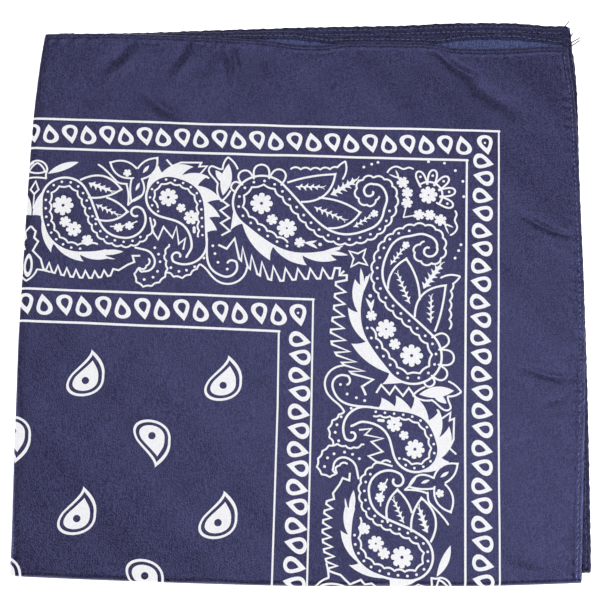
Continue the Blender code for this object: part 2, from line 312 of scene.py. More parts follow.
def arc(u, v, r, start, sweep, r_end=None):
    """An arc round u, v from an angle in degrees; its radius may close in like a spiral's."""
    a = np.radians(start + np.linspace(0, sweep, max(6, int(abs(sweep) / 6))))
    size = np.linspace(r, r if r_end is None else r_end, len(a))
    return np.column_stack([u + size * np.cos(a), v + size * np.sin(a)])


def swing(p, aim, q, aim_q, pull=1.0):
    """A smooth join from p to q that leaves and arrives along two directions."""
    p, q = np.array(p, float), np.array(q, float)
    t = np.linspace(0, 1, 24)[:, None]
    size = np.hypot(*(q - p)) * pull
    a, b = np.array(aim) * size, np.array(aim_q) * size
    return p * (2 * t**3 - 3 * t**2 + 1) + a * (t**3 - 2 * t**2 + t) + q * (3 * t**2 - 2 * t**3) + b * (t**3 - t**2)


def chain(*parts, pull=1.3, step=0.7):
    """Arcs and (u, v, heading) marks joined into one smooth path; a number sets the pull from there on."""
    out = []
    for part in parts:
        if isinstance(part, float):
            pull = part
            continue
        if isinstance(part, tuple):
            a = math.radians(part[2])
            u, v = part[:2]
            part = np.array([[u - 0.01 * math.cos(a), v - 0.01 * math.sin(a)], [u, v]])
        if out:
            last = out[-1]
            d0, d1 = last[-1] - last[-2], part[1] - part[0]
            out.append(swing(last[-1], d0 / np.hypot(*d0), part[0], d1 / np.hypot(*d1), pull)[1:-1])
        out.append(part)
    return even(np.vstack(out), step)


def bowed(a, b, bow, step=0.7):
    """A path from a to b that bows to one side by a share of its length."""
    a, b = np.array(a, float), np.array(b, float)
    run = b - a
    t = np.linspace(0, 1, max(4, int(np.hypot(*run) / step)))[:, None]
    return a + run * t + np.array([-run[1], run[0]]) * bow * 4 * t * (1 - t)


def at_of(path, s):
    """The point at a distance along a path."""
    d = np.concatenate([[0], np.cumsum(np.hypot(*np.diff(path, axis=0).T))])
    return np.array([np.interp(s, d, path[:, k]) for k in (0, 1)])


def off_of(path, s, off):
    """The same, set off to the path's left-hand side."""
    d = np.concatenate([[0], np.cumsum(np.hypot(*np.diff(path, axis=0).T))])
    n = sides(path)
    n = np.array([np.interp(s, d, n[:, k]) for k in (0, 1)])
    return at_of(path, s) + n / np.hypot(*n) * off


def length_of(path):
    return float(np.hypot(*np.diff(path, axis=0).T).sum())


def ink(*loops, bare=()):
    INK.append(([np.asarray(x, float) for x in loops], [np.asarray(x, float) for x in bare]))


def line(points, width=1.1, ends=(1.0, 1.0)):
    """A stroke of this width; ends are its widths at the two ends as shares."""
    p = np.asarray(points, float)
    n = sides(p)
    d = np.concatenate([[0], np.cumsum(np.hypot(*np.diff(p, axis=0).T))])
    reach = max(min(d[-1] * 0.4, 4.0), 1e-6)
    half = np.full(len(p), width / 2)
    half = half * (ends[0] + (1 - ends[0]) * np.clip(d / reach, 0, 1))
    half = half * (ends[1] + (1 - ends[1]) * np.clip((d[-1] - d) / reach, 0, 1))
    left, right = p + n * half[:, None], p - n * half[:, None]
    cap = [p[-1] + (p[-1] - p[-2]) / np.hypot(*(p[-1] - p[-2])) * half[-1] * 0.8]
    cup = [p[0] - (p[1] - p[0]) / np.hypot(*(p[1] - p[0])) * half[0] * 0.8]
    ink(np.vstack([left, cap, right[::-1], cup]))


def area(loop):
    x, y = np.asarray(loop).T
    return 0.5 * float(np.sum(x * np.roll(y, -1) - y * np.roll(x, -1)))


def bent(corners, width=1.0, closed=False):
    """A stroke with sharp corners, mitred no further than twice its width."""
    p = np.asarray(corners, float)
    count = len(p)
    left, right = [], []
    for i in range(count):
        if closed:
            a, b = p[i] - p[i - 1], p[(i + 1) % count] - p[i]
        else:
            a = p[i] - p[i - 1] if i else p[1] - p[0]
            b = p[i + 1] - p[i] if i < count - 1 else p[i] - p[i - 1]
        a, b = a / np.hypot(*a), b / np.hypot(*b)
        na, nb = np.array([-a[1], a[0]]), np.array([-b[1], b[0]])
        m = na + nb
        m = m / max(np.hypot(*m), 1e-6)
        grow = min(1 / max(m @ na, 0.05), 1.9)
        left.append(p[i] + m * width / 2 * grow)
        right.append(p[i] - m * width / 2 * grow)
    if closed:
        outer, inner = np.array(left), np.array(right)
        if area(outer) ** 2 < area(inner) ** 2:
            outer, inner = inner, outer
        ink(outer, bare=[inner])
    else:
        ink(np.vstack([left, right[::-1]]))


def disc(u, v, r, n=10):
    a = np.arange(n) * 2 * math.pi / n
    return np.column_stack([u + r * np.cos(a), v + r * np.sin(a)])


def dot(u, v, r=0.75):
    ink(disc(u, v, r))


def dots(path, first, last, pitch, r=0.72):
    count = int(round((last - first) / pitch))
    for k in range(count + 1):
        dot(*at_of(path, first + (last - first) * k / count), r=r)


def scallop(path, wave, pitch):
    """A path with small bows along it."""
    q = even(path, 0.5)
    s = np.arange(len(q)) * 0.5
    bump = np.abs(np.sin(math.pi * s / pitch)) ** 0.8
    return q + sides(q) * (wave * (bump - 0.5))[:, None]


def beside(path, away, first=0.0, last=1e9, swell=0.0):
    """A path at a distance to the left of another, and further out half way by the swell."""
    last = min(last, length_of(path))
    d = np.concatenate([[0], np.cumsum(np.hypot(*np.diff(path, axis=0).T))])
    at = np.linspace(first, last, max(3, int(abs(last - first) / 0.5)))
    p = np.column_stack([np.interp(at, d, path[:, c]) for c in (0, 1)])
    n = sides(p) * (1 if last > first else -1)
    share = np.linspace(0, 1, len(at))
    return p + n * (away + swell * np.sin(math.pi * share))[:, None]


def cog(u, v, r, petals=8, depth=0.30, hole=0.0, turn=0.0):
    """A small blossom with square-ended petals and a bare eye."""
    out = []
    for k in range(petals):
        mid = turn + 2 * math.pi * k / petals
        half = math.pi / petals
        for off, share in ((-0.97, 1 - depth), (-0.60, 0.97), (0.0, 1.03), (0.60, 0.97), (0.97, 1 - depth)):
            a = mid + off * half
            out.append((u + r * share * math.cos(a), v + r * share * math.sin(a)))
    ink(np.array(out), bare=[disc(u, v, hole, 8)] if hole else [])


def star(u, v, r, points=6, turn=0.3):
    """A little blossom with short square petals and no eye."""
    cog(u, v, r, points, 0.34, 0.0, turn)


def petal(a, b, height, width=1.0, side=1, swell=0.16):
    """A rounded petal in outline that stands on two points."""
    a, b = np.array(a, float), np.array(b, float)
    half = (b - a) / 2
    up = np.array([-half[1], half[0]]) / np.hypot(*half) * height * side
    t = np.linspace(-0.06, 1.06, 19) * math.pi
    mid = (a + b) / 2
    p = mid - np.cos(t)[:, None] * half * (1 + swell * np.clip(np.sin(t), 0, 1))[:, None]
    p = p + (np.sign(np.sin(t)) * np.abs(np.sin(t)) ** 0.8)[:, None] * up
    line(even(p, 0.6), width)


def petals(path, first, rows, width=1.0, side=1):
    """Petals side by side along a path: rows of (width, height)."""
    s = first
    for wide, high in rows:
        petal(off_of(path, s + 0.3, 0.5 * side), off_of(path, s + wide - 0.3, 0.5 * side), high, width, side)
        s += wide


def blade(base_a, tip, base_b, bulge_a, bulge_b, width=1.05):
    """A pointed leaf in outline, from one base to its tip and back to the other base."""
    ends = [bowed(base_a, tip, bulge_a), bowed(base_b, tip, bulge_b)]
    path = np.vstack([ends[0], ends[1][::-1][1:]])
    corner = len(ends[0]) - 1
    n = sides(path)
    left, right = path + n * width / 2, path - n * width / 2
    aim = path[corner] - (path[corner - 1] + path[corner + 1]) / 2
    aim = aim / max(np.hypot(*aim), 1e-6)
    outside = left if (left[corner] - path[corner]) @ aim > 0 else right
    inside_edge = right if outside is left else left
    outside[corner] = path[corner] + aim * width * 1.0
    inside_edge[corner] = path[corner] - aim * width * 1.0
    ink(np.vstack([left, right[::-1]]))


def leaf(base, tip, belly_a, belly_b):
    """A filled leaf with a belly on either side, as shares of its length."""
    ink(np.vstack([bowed(base, tip, belly_a), bowed(tip, base, belly_b)[1:-1]]))


def sprig(a, b, barbs=5, deep=2.4, shallow=0.7, width=0.34, bud=0.0, side=1):
    """A twig with longer barbs on one side and shorter ones on the other, all leaning to its tip."""
    a, b = np.array(a, float), np.array(b, float)
    run = b - a
    length = np.hypot(*run)
    e = run / length
    n = np.array([-e[1], e[0]]) * side
    pitch = length * 0.9 / barbs
    up, down = [a - n * 0.2], [a + n * 0.2]
    deep, shallow = 0.8 * deep, max(shallow, 0.62 * deep)
    for k in range(barbs):
        s = length * 0.05 + pitch * k
        size = 0.66 + 0.34 * math.sin(math.pi * (k + 0.9) / barbs)
        for rows, way, reach in ((up, -1, shallow), (down, 1, deep)):
            s_own = s + (0.36 * pitch if way < 0 else 0)
            rows.append(a + e * s_own + n * way * width)
            rows.append(a + e * (s_own + pitch * 0.34 + 0.42 * reach) + n * way * (width + reach * size))
            rows.append(a + e * (s_own + pitch * 0.56) + n * way * width)
    up.append(b - n * 0.25)
    down.append(b + n * 0.25)
    ink(np.vstack([up, down[::-1]]))
    if bud:
        star(*(b + e * bud * 0.7), bud, 5, math.atan2(e[1], e[0]))
    else:
        line([b - e * 1.0, b + e * 1.6 - n * 0.3, b + e * 2.4 - n * 0.9], 0.5, (1, 0.5))
        line([b - e * 1.0, b + e * 1.2 + n * 0.6, b + e * 1.6 + n * 1.4], 0.5, (1, 0.5))


def tongues(path, rows):
    """Filled tongues on a path's left: rows of (where it leaves, where it comes back, tip along, tip out, bow)."""
    for leaves, back, along_tip, out, bow in rows:
        start, tip, end = off_of(path, leaves, 0.3), off_of(path, along_tip, out), off_of(path, back, 0.3)
        sign = -1 if leaves > back else 1
        under = np.array([at_of(path, s) for s in np.linspace(back, leaves, 14)])
        ink(np.vstack([bowed(start, tip, bow * sign, 1.0), bowed(tip, end, -0.08 * sign, 1.0)[1:-1], under]))


def fringe(inner, outer, teeth, flat=0.30, lean=0.0, width=1.0, head=(), tail=()):
    """A toothed line between two paths: sharp at the inner one, blunt at the outer one."""
    def at(rail, t):
        return off_of(rail, t * length_of(rail), 0.0)

    corners = [np.array(x, float) for x in head]
    for k in range(teeth):
        corners.append(at(inner, k / teeth))
        for off in (0.5 - flat / 2, 0.5 + flat / 2) if flat else (0.5,):
            corners.append(at(outer, min(1.0, (k + off + lean) / teeth)))
    corners.append(at(inner, 1.0))
    bent(corners + [np.array(x, float) for x in tail], width)


def drop(u, v, long, wide, sharp, lean=0.0, hook=0.0, turn=1, swap=False, count=40):
    """A water drop round u, v, point up: it narrows by sharp, and its point leans and hooks to one side."""
    t = np.arange(count) * 2 * math.pi / count
    s = np.sin(t / 2) ** sharp
    y = -long / 2 * np.cos(t)
    x = np.sin(t) * s
    x = x * (wide / 2 / x.max())
    rise = np.clip(-y / (long / 2) + 0.1, -1, 1.1) / 1.1
    x = x + lean * np.clip(rise, 0, None) ** 1.4 + hook * np.sin(math.pi * rise)
    loop = np.column_stack([x, y]) * turn
    return (loop[:, ::-1] if swap else loop) + np.array([u, v])


def border_drop(u, v, turn, swap=False, size=1.0):
    """A small drop of the border rows, with a bare eye."""
    out = drop(u, v, 11.0 * size, 8.2 * size, 1.25, 1.7 * size, 0.15, turn, swap, 28)
    eye = np.array([0.15, 1.0]) * turn * size
    eye = eye[::-1] if swap else eye
    ink(out, bare=[drop(u + eye[0], v + eye[1], 5.6 * size, 4.0 * size, 0.9, 0.9 * size, 0.0, turn, swap, 18)])


def border_row(start, pitch, count, level, column):
    """Drops in a row that point in and out by turns; level is how far in the row lies."""
    for k in range(count):
        at = (start + pitch * k, level)
        border_drop(*(at[::-1] if column else at), 1 if k % 2 == 0 else -1, column)


def corner_drop(u, v):
    border_drop(u, v, -1, size=1.03)
    dot(u, v - 1.2, 0.6)


def field_drop(u, v, upside):
    """Drops one in another: a ring, a bare ring, and a filled drop with an eye. u, v is the eye."""
    def loop(across, along_it, back):
        """A drop that slants to one side as it rises; the point of the outer one comes back."""
        x, y = drop(0, 0, 24.0, 18.0, 1.35, count=56).T
        rise = np.clip(0.1 - y / 12.0, -1, 1.1) / 1.1
        slant = 0.95 + 3.7 * rise + np.where(rise > 0, 0.7 * np.sin(math.pi * rise) - back * rise**4, 0)
        p = np.column_stack([(x - slant) * across, (y - 3.9) * along_it])
        return p * np.array([1, -1 if upside else 1]) + np.array([u, v])

    ink(loop(1.0, 1.0, 2.5), bare=[loop(0.87, 0.84, 1.4)])
    ink(loop(0.675, 0.65, 0.0), bare=[disc(u, v, 1.85, 16)])


def first_paisley():
    main = chain(
        (81, 66.5, 16), arc(121.5, 43, 14.8, 54, -192), arc(70.0, 45.3, 11.0, 112, 62),
        arc(66, 35.5, 7.4, 182, 68, 4.4), arc(66, 35.3, 4.2, 262, 150, 3.1), arc(66, 35.3, 2.8, 428, 110, 1.1),
        pull=1.42,
    )
    line(main, 1.15)
    curl_at = length_of(main) - 30
    outer = chain(
        beside(main, -5.3, 28.5, curl_at - 19), arc(65.6, 35.8, 12.6, 182, 78, 8.6), arc(65.6, 35.4, 8.4, 272, 165, 7.9),
        arc(65.6, 35.3, 6.6, 462, 42, 4.4), pull=1.0,
    )
    line(scallop(outer, -1.1, 6.0), 1.0)
    dots(beside(main, -2.8), 26.5, curl_at - 9, 5.5)
    petals(main, 73.0, ((5.6, 3.3), (7.4, 5.2), (8.4, 6.2), (7.8, 5.8)))
    blade((108.8, 31.6), (84.5, 26.2), (101.5, 41.8), 0.04, -0.22)
    blade((92.6, 39.2), (71.0, 46.8), (87.0, 55.6), 0.08, -0.15)
    sprig((104.4, 33.6), (91.4, 33.4), 4, 2.5, 0.5, side=-1)
    sprig((94.6, 44.2), (79.6, 50.6), 5, 2.6, 0.5, side=-1)
    sprig((74.2, 54.6), (64.8, 48.0), 4, 2.1, 0.6, bud=2.0, side=-1)
    sprig((86.4, 37.4), (73.8, 29.2), 5, 2.9, 0.6, 0.9, side=-1)
    cog(121.6, 43.4, 5.7, 8, 0.30, 0.85, 0.0)
    star(115.9, 51.9, 2.9)
    cog(108.2, 56.3, 5.0, 8, 0.30, 0.55, 0.0)
    star(101.4, 63.7, 2.7)
    leaf((99.5, 63.9), (92.6, 62.4), 0.04, 0.18)
    leaf((99.0, 63.7), (92.2, 66.8), 0.18, 0.04)
    dot(91.0, 64.5, 0.95)
    # tongues outside the head and under the belly, then the swallow tail
    tongues(main, ((63, 54.5, 56, 7.0, 0.0), (54.5, 34.6, 32.6, 7.6, 0.10), (35.2, 19.2, 17.0, 6.0, 0.12), (20, 5.6, 2.8, 5.4, 0.12)))
    leaf((89.5, 68.6), (76.4, 69.8), 0.10, 0.06)
    leaf((88.5, 67.8), (79.0, 64.8), 0.03, 0.12)
    fringe(
        chain((134.6, 62.8, 130), (117.4, 75.9, 160), (98, 77.6, 182), (83.0, 76.8, 182), pull=1.0),
        chain((134.4, 70.6, 132), (114.4, 84.0, 170), (97, 82.8, 182), (83.4, 82.2, 180), pull=1.0),
        9, 0.26, 0.24, 1.1, head=[(142.8, 66.4), (138.4, 68.4)], tail=[(80.4, 76.8), (80.6, 80.4), (78.2, 78.2)],
    )
    # scalloped line and hook above the first leaf, and three dots
    line(scallop(bowed((107.2, 23.6), (83.4, 22.6), -0.02), 1.1, 5.0), 0.95)
    line(bowed((83.6, 22.6), (79.6, 19.0), 0.06), 0.95)
    line(bowed((79.6, 19.0), (80.6, 28.8), 0.12), 0.95)
    for u, v in ((70.0, 22.0), (66.0, 20.3), (62.8, 19.2)):
        dot(u, v)


def second_paisley():
    main = chain(
        (158.8, 73.6, 250), 1.0, (156.4, 67.4, 272), (161.4, 56.4, 322), 1.1, arc(169.5, 41.4, 11.4, 76, -184), 1.5,
        arc(160.0, 66.2, 11.3, 190, -128), arc(163.2, 73.4, 3.2, 45, -235, 1.2),
    )
    line(main, 1.15)
    line(scallop(beside(main, -3.9, 36, 107), -0.9, 4.8), 0.95)
    dots(beside(main, -1.95), 37, 101, 4.5, 0.66)
    cog(169.5, 41.8, 4.8, 8, 0.28, 0.8, 0.1)
    star(162.7, 47.3, 2.4, 5, 0.2)
    cog(157.3, 52.2, 3.8, 7, 0.30, 0.45, 0.2)
    line([(155.6, 57.4), (155.5, 58.8), (155.4, 60.2)], 1.5)
    tongues(
        main,
        ((49, 61.5, 60, 6.2, 0.12), (58, 69.5, 73, 8.2, 0.22), (68.5, 79.5, 79.5, 8.4, 0.13), (78.5, 89.5, 89, 8.6, 0.12), (88, 97.5, 97, 7.4, 0.08), (95.5, 105, 104, 5.6, 0.06)),
    )
    # a broken ribbon over the head, and one to its right
    bent([(171.4, 21.2), (168.4, 24.6), (164, 22.6), (153.4, 22.4), (154.4, 24.6), (150.4, 24.2), (153.8, 28.8), (149, 30.8)], 0.95)
    fringe(beside(main, 7.7, 88, 107), beside(main, 12.1, 88, 107), 3, 0.0, 0.20, 1.0)
    # teeth in the hollow side
    bent([(178.4, 52.8), (176.2, 61), (173.6, 64.6), (171.2, 57.8), (166.4, 63.4), (164.6, 57.6), (163.0, 66.6), (159.8, 63.6), (160.6, 69.6)], 0.95)
    # two curls that leave the tail to the right, a scalloped base and a scalloped curl to the left
    line(chain((148.8, 63, 92), arc(137.4, 77.3, 6.2, 62, 130, 4.6), arc(136.4, 77.2, 3.8, 205, 110, 1.8)), 1.1)
    line(chain((151.4, 77.2, 150), arc(137.4, 77.2, 9.8, 44, 132)), 1.0)
    line(scallop(chain((168.6, 82, 155), (160.5, 84.6, 188), (151.2, 77.4, 222), pull=1.1), 1.0, 4.4), 0.95)
    line(chain((185, 69.4, 165), arc(179.8, 77.4, 5.5, 215, -125, 4.6), arc(180.4, 79.4, 3.0, 80, -60, 2.2)), 1.05)
    line(
        scallop(chain((177.4, 75.2, 95), (180.6, 80.6, 5), arc(178.2, 84.4, 6.2, -30, 120, 5.6), arc(176.4, 80.6, 8.2, 118, 60), (169.6, 72, 262), (167.6, 67.2, 240), pull=1.0), 0.8, 4.2),
        0.95,
    )
    for u, v in ((145.6, 67), (144.3, 71.2), (142.5, 75.8), (137.6, 79.2), (149.8, 73.7), (154.2, 78.6), (158.3, 80.6), (162.1, 81.4), (166.3, 79.6)):
        dot(u, v, 0.72)
    for u, v in ((175, 69.2), (172.9, 72.6), (171.9, 76.6), (172.9, 81.8), (175, 85), (179.4, 86.4)):
        dot(u, v, 0.72)


def third_paisley():
    main = chain(
        (199.5, 71.4, 14), arc(213.5, 54, 19.2, 96, -80), arc(222.3, 44.6, 11.9, 6, -156), arc(190.4, 54.4, 9.9, 82, 130),
        arc(185.5, 50.4, 3.3, 228, 245, 1.9),
    )
    line(main, 1.15)
    line(scallop(beside(main, -4.6, 4, length_of(main) - 18), -1.0, 5.0), 0.95)
    dots(beside(main, -2.2), 13, 122, 4.5, 0.68)
    cog(223.0, 47.8, 5.3, 8, 0.28, 0.85, 0.0)
    star(221.4, 56.6, 2.9)
    cog(216.7, 60.5, 3.9, 7, 0.30, 0.5, 0.1)
    star(209.6, 66.2, 2.9, 5, 0.5)
    blade((215.2, 33.8), (193.8, 38.2), (210.6, 43.2), 0.22, -0.10)
    blade((201.2, 42.9), (190.0, 50.2), (206.4, 54.6), 0.08, -0.16)
    sprig((210.6, 35.2), (199.2, 39.2), 4, 2.3, 0.9, 0.7, side=-1)
    sprig((206.2, 46.8), (195.6, 51.6), 4, 2.2, 0.7, side=-1)
    line(bowed((198.2, 58.4), (184.8, 55.2), -0.06), 0.7)
    star(194.0, 58.8, 2.4)
    star(188.6, 57.6, 2.3, 6, 0.6)
    tongues(main, ((58, 44.5, 45.5, 4.6, 0.10), (42.5, 28, 26.0, 4.8, 0.10), (27.8, 13.6, 11.6, 4.8, 0.12), (14.5, 1, 0.0, 4.4, 0.12)))
    leaf((204, 73.2), (190.8, 71.8), 0.12, 0.10)
    leaf((203, 73.8), (194.6, 76.0), 0.02, 0.10)
    fringe(
        bowed((232.4, 77.4), (195.4, 81.4), -0.085), bowed((233.0, 82.0), (195.8, 84.8), -0.085), 8, 0.30, 0.18, 1.0,
        head=[(238.6, 59.4), (236.0, 62.2), (236.6, 65.6), (234.4, 67.6), (236.8, 72.8)],
        tail=[(192.6, 82.0), (188.2, 78.9), (184.9, 77.3), (186.0, 74.0), (182.2, 73.8)],
    )
    # three-leaved bud with a line round it
    blade((187.6, 31.8), (200.2, 23.8), (186.4, 26.8), 0.22, -0.18, 0.95)
    blade((186.0, 26.8), (176.2, 20.6), (184.0, 32.4), 0.14, -0.22, 0.95)
    blade((183.6, 32.4), (188.2, 44.6), (188.8, 32.4), 0.28, -0.06, 0.95)
    star(191.2, 29.2, 2.1, 5)
    leaf((183.2, 29.0), (180.2, 24.8), 0.16, 0.16)
    leaf((186.4, 38.6), (184.6, 34.2), 0.16, 0.16)
    line(chain((206.4, 25.0, 150), (196.6, 33.8, 135), (190.8, 35.2, 178), pull=1.0), 0.95)
    line(bowed((191.4, 35.2), (189.9, 46.6), 0.06), 0.95)
    line(bowed((189.9, 46.6), (183.0, 41.0), 0.06), 0.95)


def tulip():
    """The bud between the first and second paisley."""
    leaf((141.6, 39.8), (139.3, 22.4), 0.15, 0.17)
    leaf((140.6, 33.2), (145.9, 26.2), 0.20, 0.20)
    line(bowed((134.6, 25.0), (139.8, 18.8), -0.08), 0.95)
    line(bowed((139.8, 18.8), (142.3, 25.6), -0.10), 0.95)
    line(chain((142.2, 25.4, 20), (149.0, 24.8, 60), (144.4, 33.6, 118), pull=1.1), 0.95)
    line(bowed((144.4, 33.4), (142.2, 43), -0.12), 0.95)
    line(bowed((142.2, 43), (137.8, 37), -0.06), 0.95)


def middle_column():
    """Motifs on the mirror line, where the cloth folds."""
    u = FOLD_U - 1.0
    line(arc(u, 29.2, 5.2, 0, -180), 0.95)
    line(bowed((u - 5.2, 29.4), (u + 5.2, 29.4), 0.14), 0.95)
    line(bowed((u - 5.0, 33.6), (u + 5.0, 33.6), -0.04), 0.95)
    for side in (-1, 1):
        line(bowed((u, 25.2), (u + side * 4.2, 30.2), side * -0.10), 0.95)
        line(bowed((u + side * 5.2, 29.4), (u + side * 5.0, 33.6), 0.10 * side), 0.95)
        leaf((u + side * 5.6, 31.0), (u + side * 21.0, 24.0), 0.11 - side * 0.03, 0.11 + side * 0.03)
    v = FOLD_U - 0.4
    bent([(v - 0.3, 35.3), (v + 2.1, 39.8), (v, 42.2), (v - 2.1, 39.8)], 0.9, closed=True)
    line([(v, 42.4), (v, 46.0), (v, 50.0)], 0.7)
    bent([(v + 0.6, 59.4), (v + 3.2, 62.6), (v + 2.6, 66), (v + 4.6, 68), (v + 2.6, 72.4)], 0.9)
    ink(drop(v + 0.4, 81, 13.0, 4.6, 0.2, count=28), bare=[drop(v + 0.4, 81, 8.0, 2.4, 0.2, count=20)])
    line(bowed((v + 0.8, 89.6), (v - 4.2, 83.2), -0.1), 0.95)
    line(bowed((v - 4.2, 83.2), (v - 11, 84.4), 0.03), 0.95)
    line(bowed((v + 0.8, 89.6), (v + 5.2, 83.2), 0.1), 0.95)


def corner_side():
    """One side of the corner's garland, and the dots beside its fan."""
    line(chain((48.8, 48.8, 258), (47.0, 36, 272), (52.8, 26.6, 300), pull=1.0), 0.7)
    star(47.2, 40.9, 2.9, 6, 0.2)
    star(47.2, 35.4, 2.9, 6, 0.5)
    star(49.8, 29.8, 3.1, 6, 0.1)
    leaf((51.6, 27.8), (53.7, 23.0), 0.08, 0.10)
    leaf((51.6, 27.8), (57.2, 25.4), 0.08, 0.06)
    line(chain((57.8, 24.6, 250), (53.6, 21.2, 185), (50.2, 22.4, 160), (46.8, 21.6, 190), (44.6, 22.4, 150), pull=1.0), 0.95)
    for u, v in ((36.8, 18.2), (28.6, 18.9)):
        dot(u, v, 0.75)


def on_diagonal():
    """The corner's fan and blossom, and a four-pointed star, both on the diagonal."""
    c = 36.4
    cog(c, c, 4.6, 8, 0.28, 0.5, 0.1)

    # the fan looks out to the corner, towards smaller u and v
    def at(r, degrees):
        a = math.radians(225 + degrees)
        return (c + r * math.cos(a), c + r * math.sin(a))

    line(arc(c, c, 7.2, 225 - 88, 176), 1.05)
    for k in range(-2, 3):
        mid = 34.5 * k
        petal(at(7.6, mid - 15.6), at(7.6, mid + 15.6), 6.6, 1.0, side=-1, swell=0.42)
        dot(*at(10.8, mid), 0.7)
    dot(22.9, 22.9, 0.75)
    s, out = 71.2, []
    for k in range(4):
        for turn, r in ((8, 5.9), (53, 2.4)):
            a = math.radians(45 + 90 * k + turn)
            out.append((s + r * math.cos(a), s + r * math.sin(a)))
    bent(out, 0.95, closed=True)


def draw():
    INK.clear()
    first_paisley()
    second_paisley()
    third_paisley()
    tulip()
    middle_column()
    corner_side()
    # the same down the other side of the corner
    INK.extend([([x[:, ::-1] for x in loops], [x[:, ::-1] for x in bare]) for loops, bare in list(INK)])
    on_diagonal()
    corner_drop(7.4, 8.0)
    border_row(18.6, 9.69, 24, 8.5, False)
    border_row(17.2, 9.43, 25, 8.2, True)
    corner_drop(100.9, 101.8)
    border_row(110.6, 9.85, 14, 101.6, False)
    border_row(114.2, 9.5, 14, 99.6, True)
    # the frame lines, a little heavier along the rows than down the columns
    for d, row, column in ((0.0, 1.18, 0.88), (17.0, 1.24, 1.08), (93.5, 1.16, 0.92), (110.2, 1.20, 0.92)):
        line([(262, d), (150, d), (d - column / 2, d)], row, (1, 1))
        line([(d, d), (d, 150), (d, 262)], column, (1, 1))
    for u, v, upside in (
        (137.5, 139.7, False), (206, 139.7, False), (137.5, 208.7, False), (206, 208.7, False),
        (171.6, 166.5, True), (240.3, 166.5, True), (171.6, 235.5, True), (240.3, 235.5, True),
    ):
        field_drop(u, v, upside)


# ---- the print on the cloth ----
# The print is not quite square on the cloth: how far it has drifted right and up, in tenths of a
# millimetre, at stations u along the rows and v down them
DRIFT_U = (0, 17, 60, 93.5, 110, 170, 235)
DRIFT_V = (0, 17, 60, 93.5, 110, 150, 200, 235)
DRIFT_RIGHT = (
    (1, 5, 4, 2, 0, 0, 0),
    (1, 5, 4, 2, 0, 0, 0),
    (-6, -3, -3, -2, -2, 0, 0),
    (-17, -12, -8, -5, -5, -2, 0),
    (-14, -10, -7, -4, -6, -2, 0),
    (-7, -3, -1, 0, 0, 0, 0),
    (-11, -5, -1, 3, 2, 0, 0),
    (-2, 1, 1, 2, -1, 0, 0),
)
DRIFT_UP = (
    (1, -1, -7, -10, -11, -8, -6),
    (4, 4, 0, -3, -2, 0, 0),
    (1, 1, -1, -3, -3, -1, -1),
    (-1, -1, -3, -6, -5, 1, 8),
    (-1, -1, -4, -8, -11, -2, 7),
    (0, 0, 0, -1, -3, -1, 2),
    (0, 0, 0, 0, 0, 0, 0),
    (0, 0, 0, 0, 0, 0, 0),
)


def drifted(table, u, v):
    t = np.array(table, float) * 0.1
    iu = np.clip(np.searchsorted(DRIFT_U, u) - 1, 0, len(DRIFT_U) - 2)
    iv = np.clip(np.searchsorted(DRIFT_V, v) - 1, 0, len(DRIFT_V) - 2)
    us, vs = np.array(DRIFT_U, float), np.array(DRIFT_V, float)
    a = ramp(u, us[iu], us[iu + 1])
    b = ramp(v, vs[iv], vs[iv + 1])
    return (t[iv, iu] * (1 - a) + t[iv, iu + 1] * a) * (1 - b) + (t[iv + 1, iu] * (1 - a) + t[iv + 1, iu + 1] * a) * b


def on_cloth(loop):
    """A loop of the print as points of the flat cloth."""
    u, v = loop[:, 0], loop[:, 1]
    return np.column_stack([97.4 - u + drifted(DRIFT_RIGHT, u, v), 87.65 - 0.993 * v + drifted(DRIFT_UP, u, v)])


FOLD_U, FOLD_V = 238.5, 239.5  # where the print meets the middles of the two folds


def over_the_folds(shapes):
    """The print again beyond the left and the bottom fold, mirrored as it is printed."""
    out = list(shapes)
    for limit, axis in ((FOLD_U, 0), (FOLD_V, 1)):
        flip = np.array([-1, 1] if axis == 0 else [1, -1], float)
        shift = np.array([2 * limit, 0] if axis == 0 else [0, 2 * limit], float)
        for loops, bare in list(out):
            low = min(x[:, axis].min() for x in loops)
            high = max(x[:, axis].max() for x in loops)
            # a shape that crosses the fold is whole already
            if high < limit - 0.2 and (axis == 1 or high > limit - 26):
                out.append(([x * flip + shift for x in loops], [x * flip + shift for x in bare]))
    return out


def inside(points, loop):
    """Non-zero winding test."""
    wound = np.zeros(len(points), int)
    low, high = loop.min(0), loop.max(0)
    near = np.flatnonzero(((points >= low) & (points <= high)).all(1))
    x0, y0 = loop.T
    x1, y1 = np.roll(loop, -1, axis=0).T
    for part in np.array_split(near, max(1, len(near) * len(loop) // 4_000_000 + 1)):
        if not len(part):
            continue
        x, y = points[part, 0][:, None], points[part, 1][:, None]
        side = (x1 - x0) * (y - y0) - (x - x0) * (y1 - y0)
        wound[part] = ((y0 <= y) & (y1 > y) & (side > 0)).sum(1) - ((y0 > y) & (y1 <= y) & (side < 0)).sum(1)
    return wound != 0


def finer(loop, closed=True):
    """The loop with its edges cut short, and shorter still where the cloth turns."""
    out = []
    count = len(loop) if closed else len(loop) - 1
    for i in range(count):
        a, b = loop[i], loop[(i + 1) % len(loop)]
        turning = min(a[0], b[0]) < -133.5 or -153.5 < min(a[1], b[1]) < -143 or -153.5 < max(a[1], b[1]) < -143
        parts = max(1, math.ceil(math.hypot(*(b - a)) / (0.55 if turning else 1.9)))
        out += [a + (b - a) * k / parts for k in range(parts)]
    if not closed:
        out.append(loop[-1])
    return np.array(out)


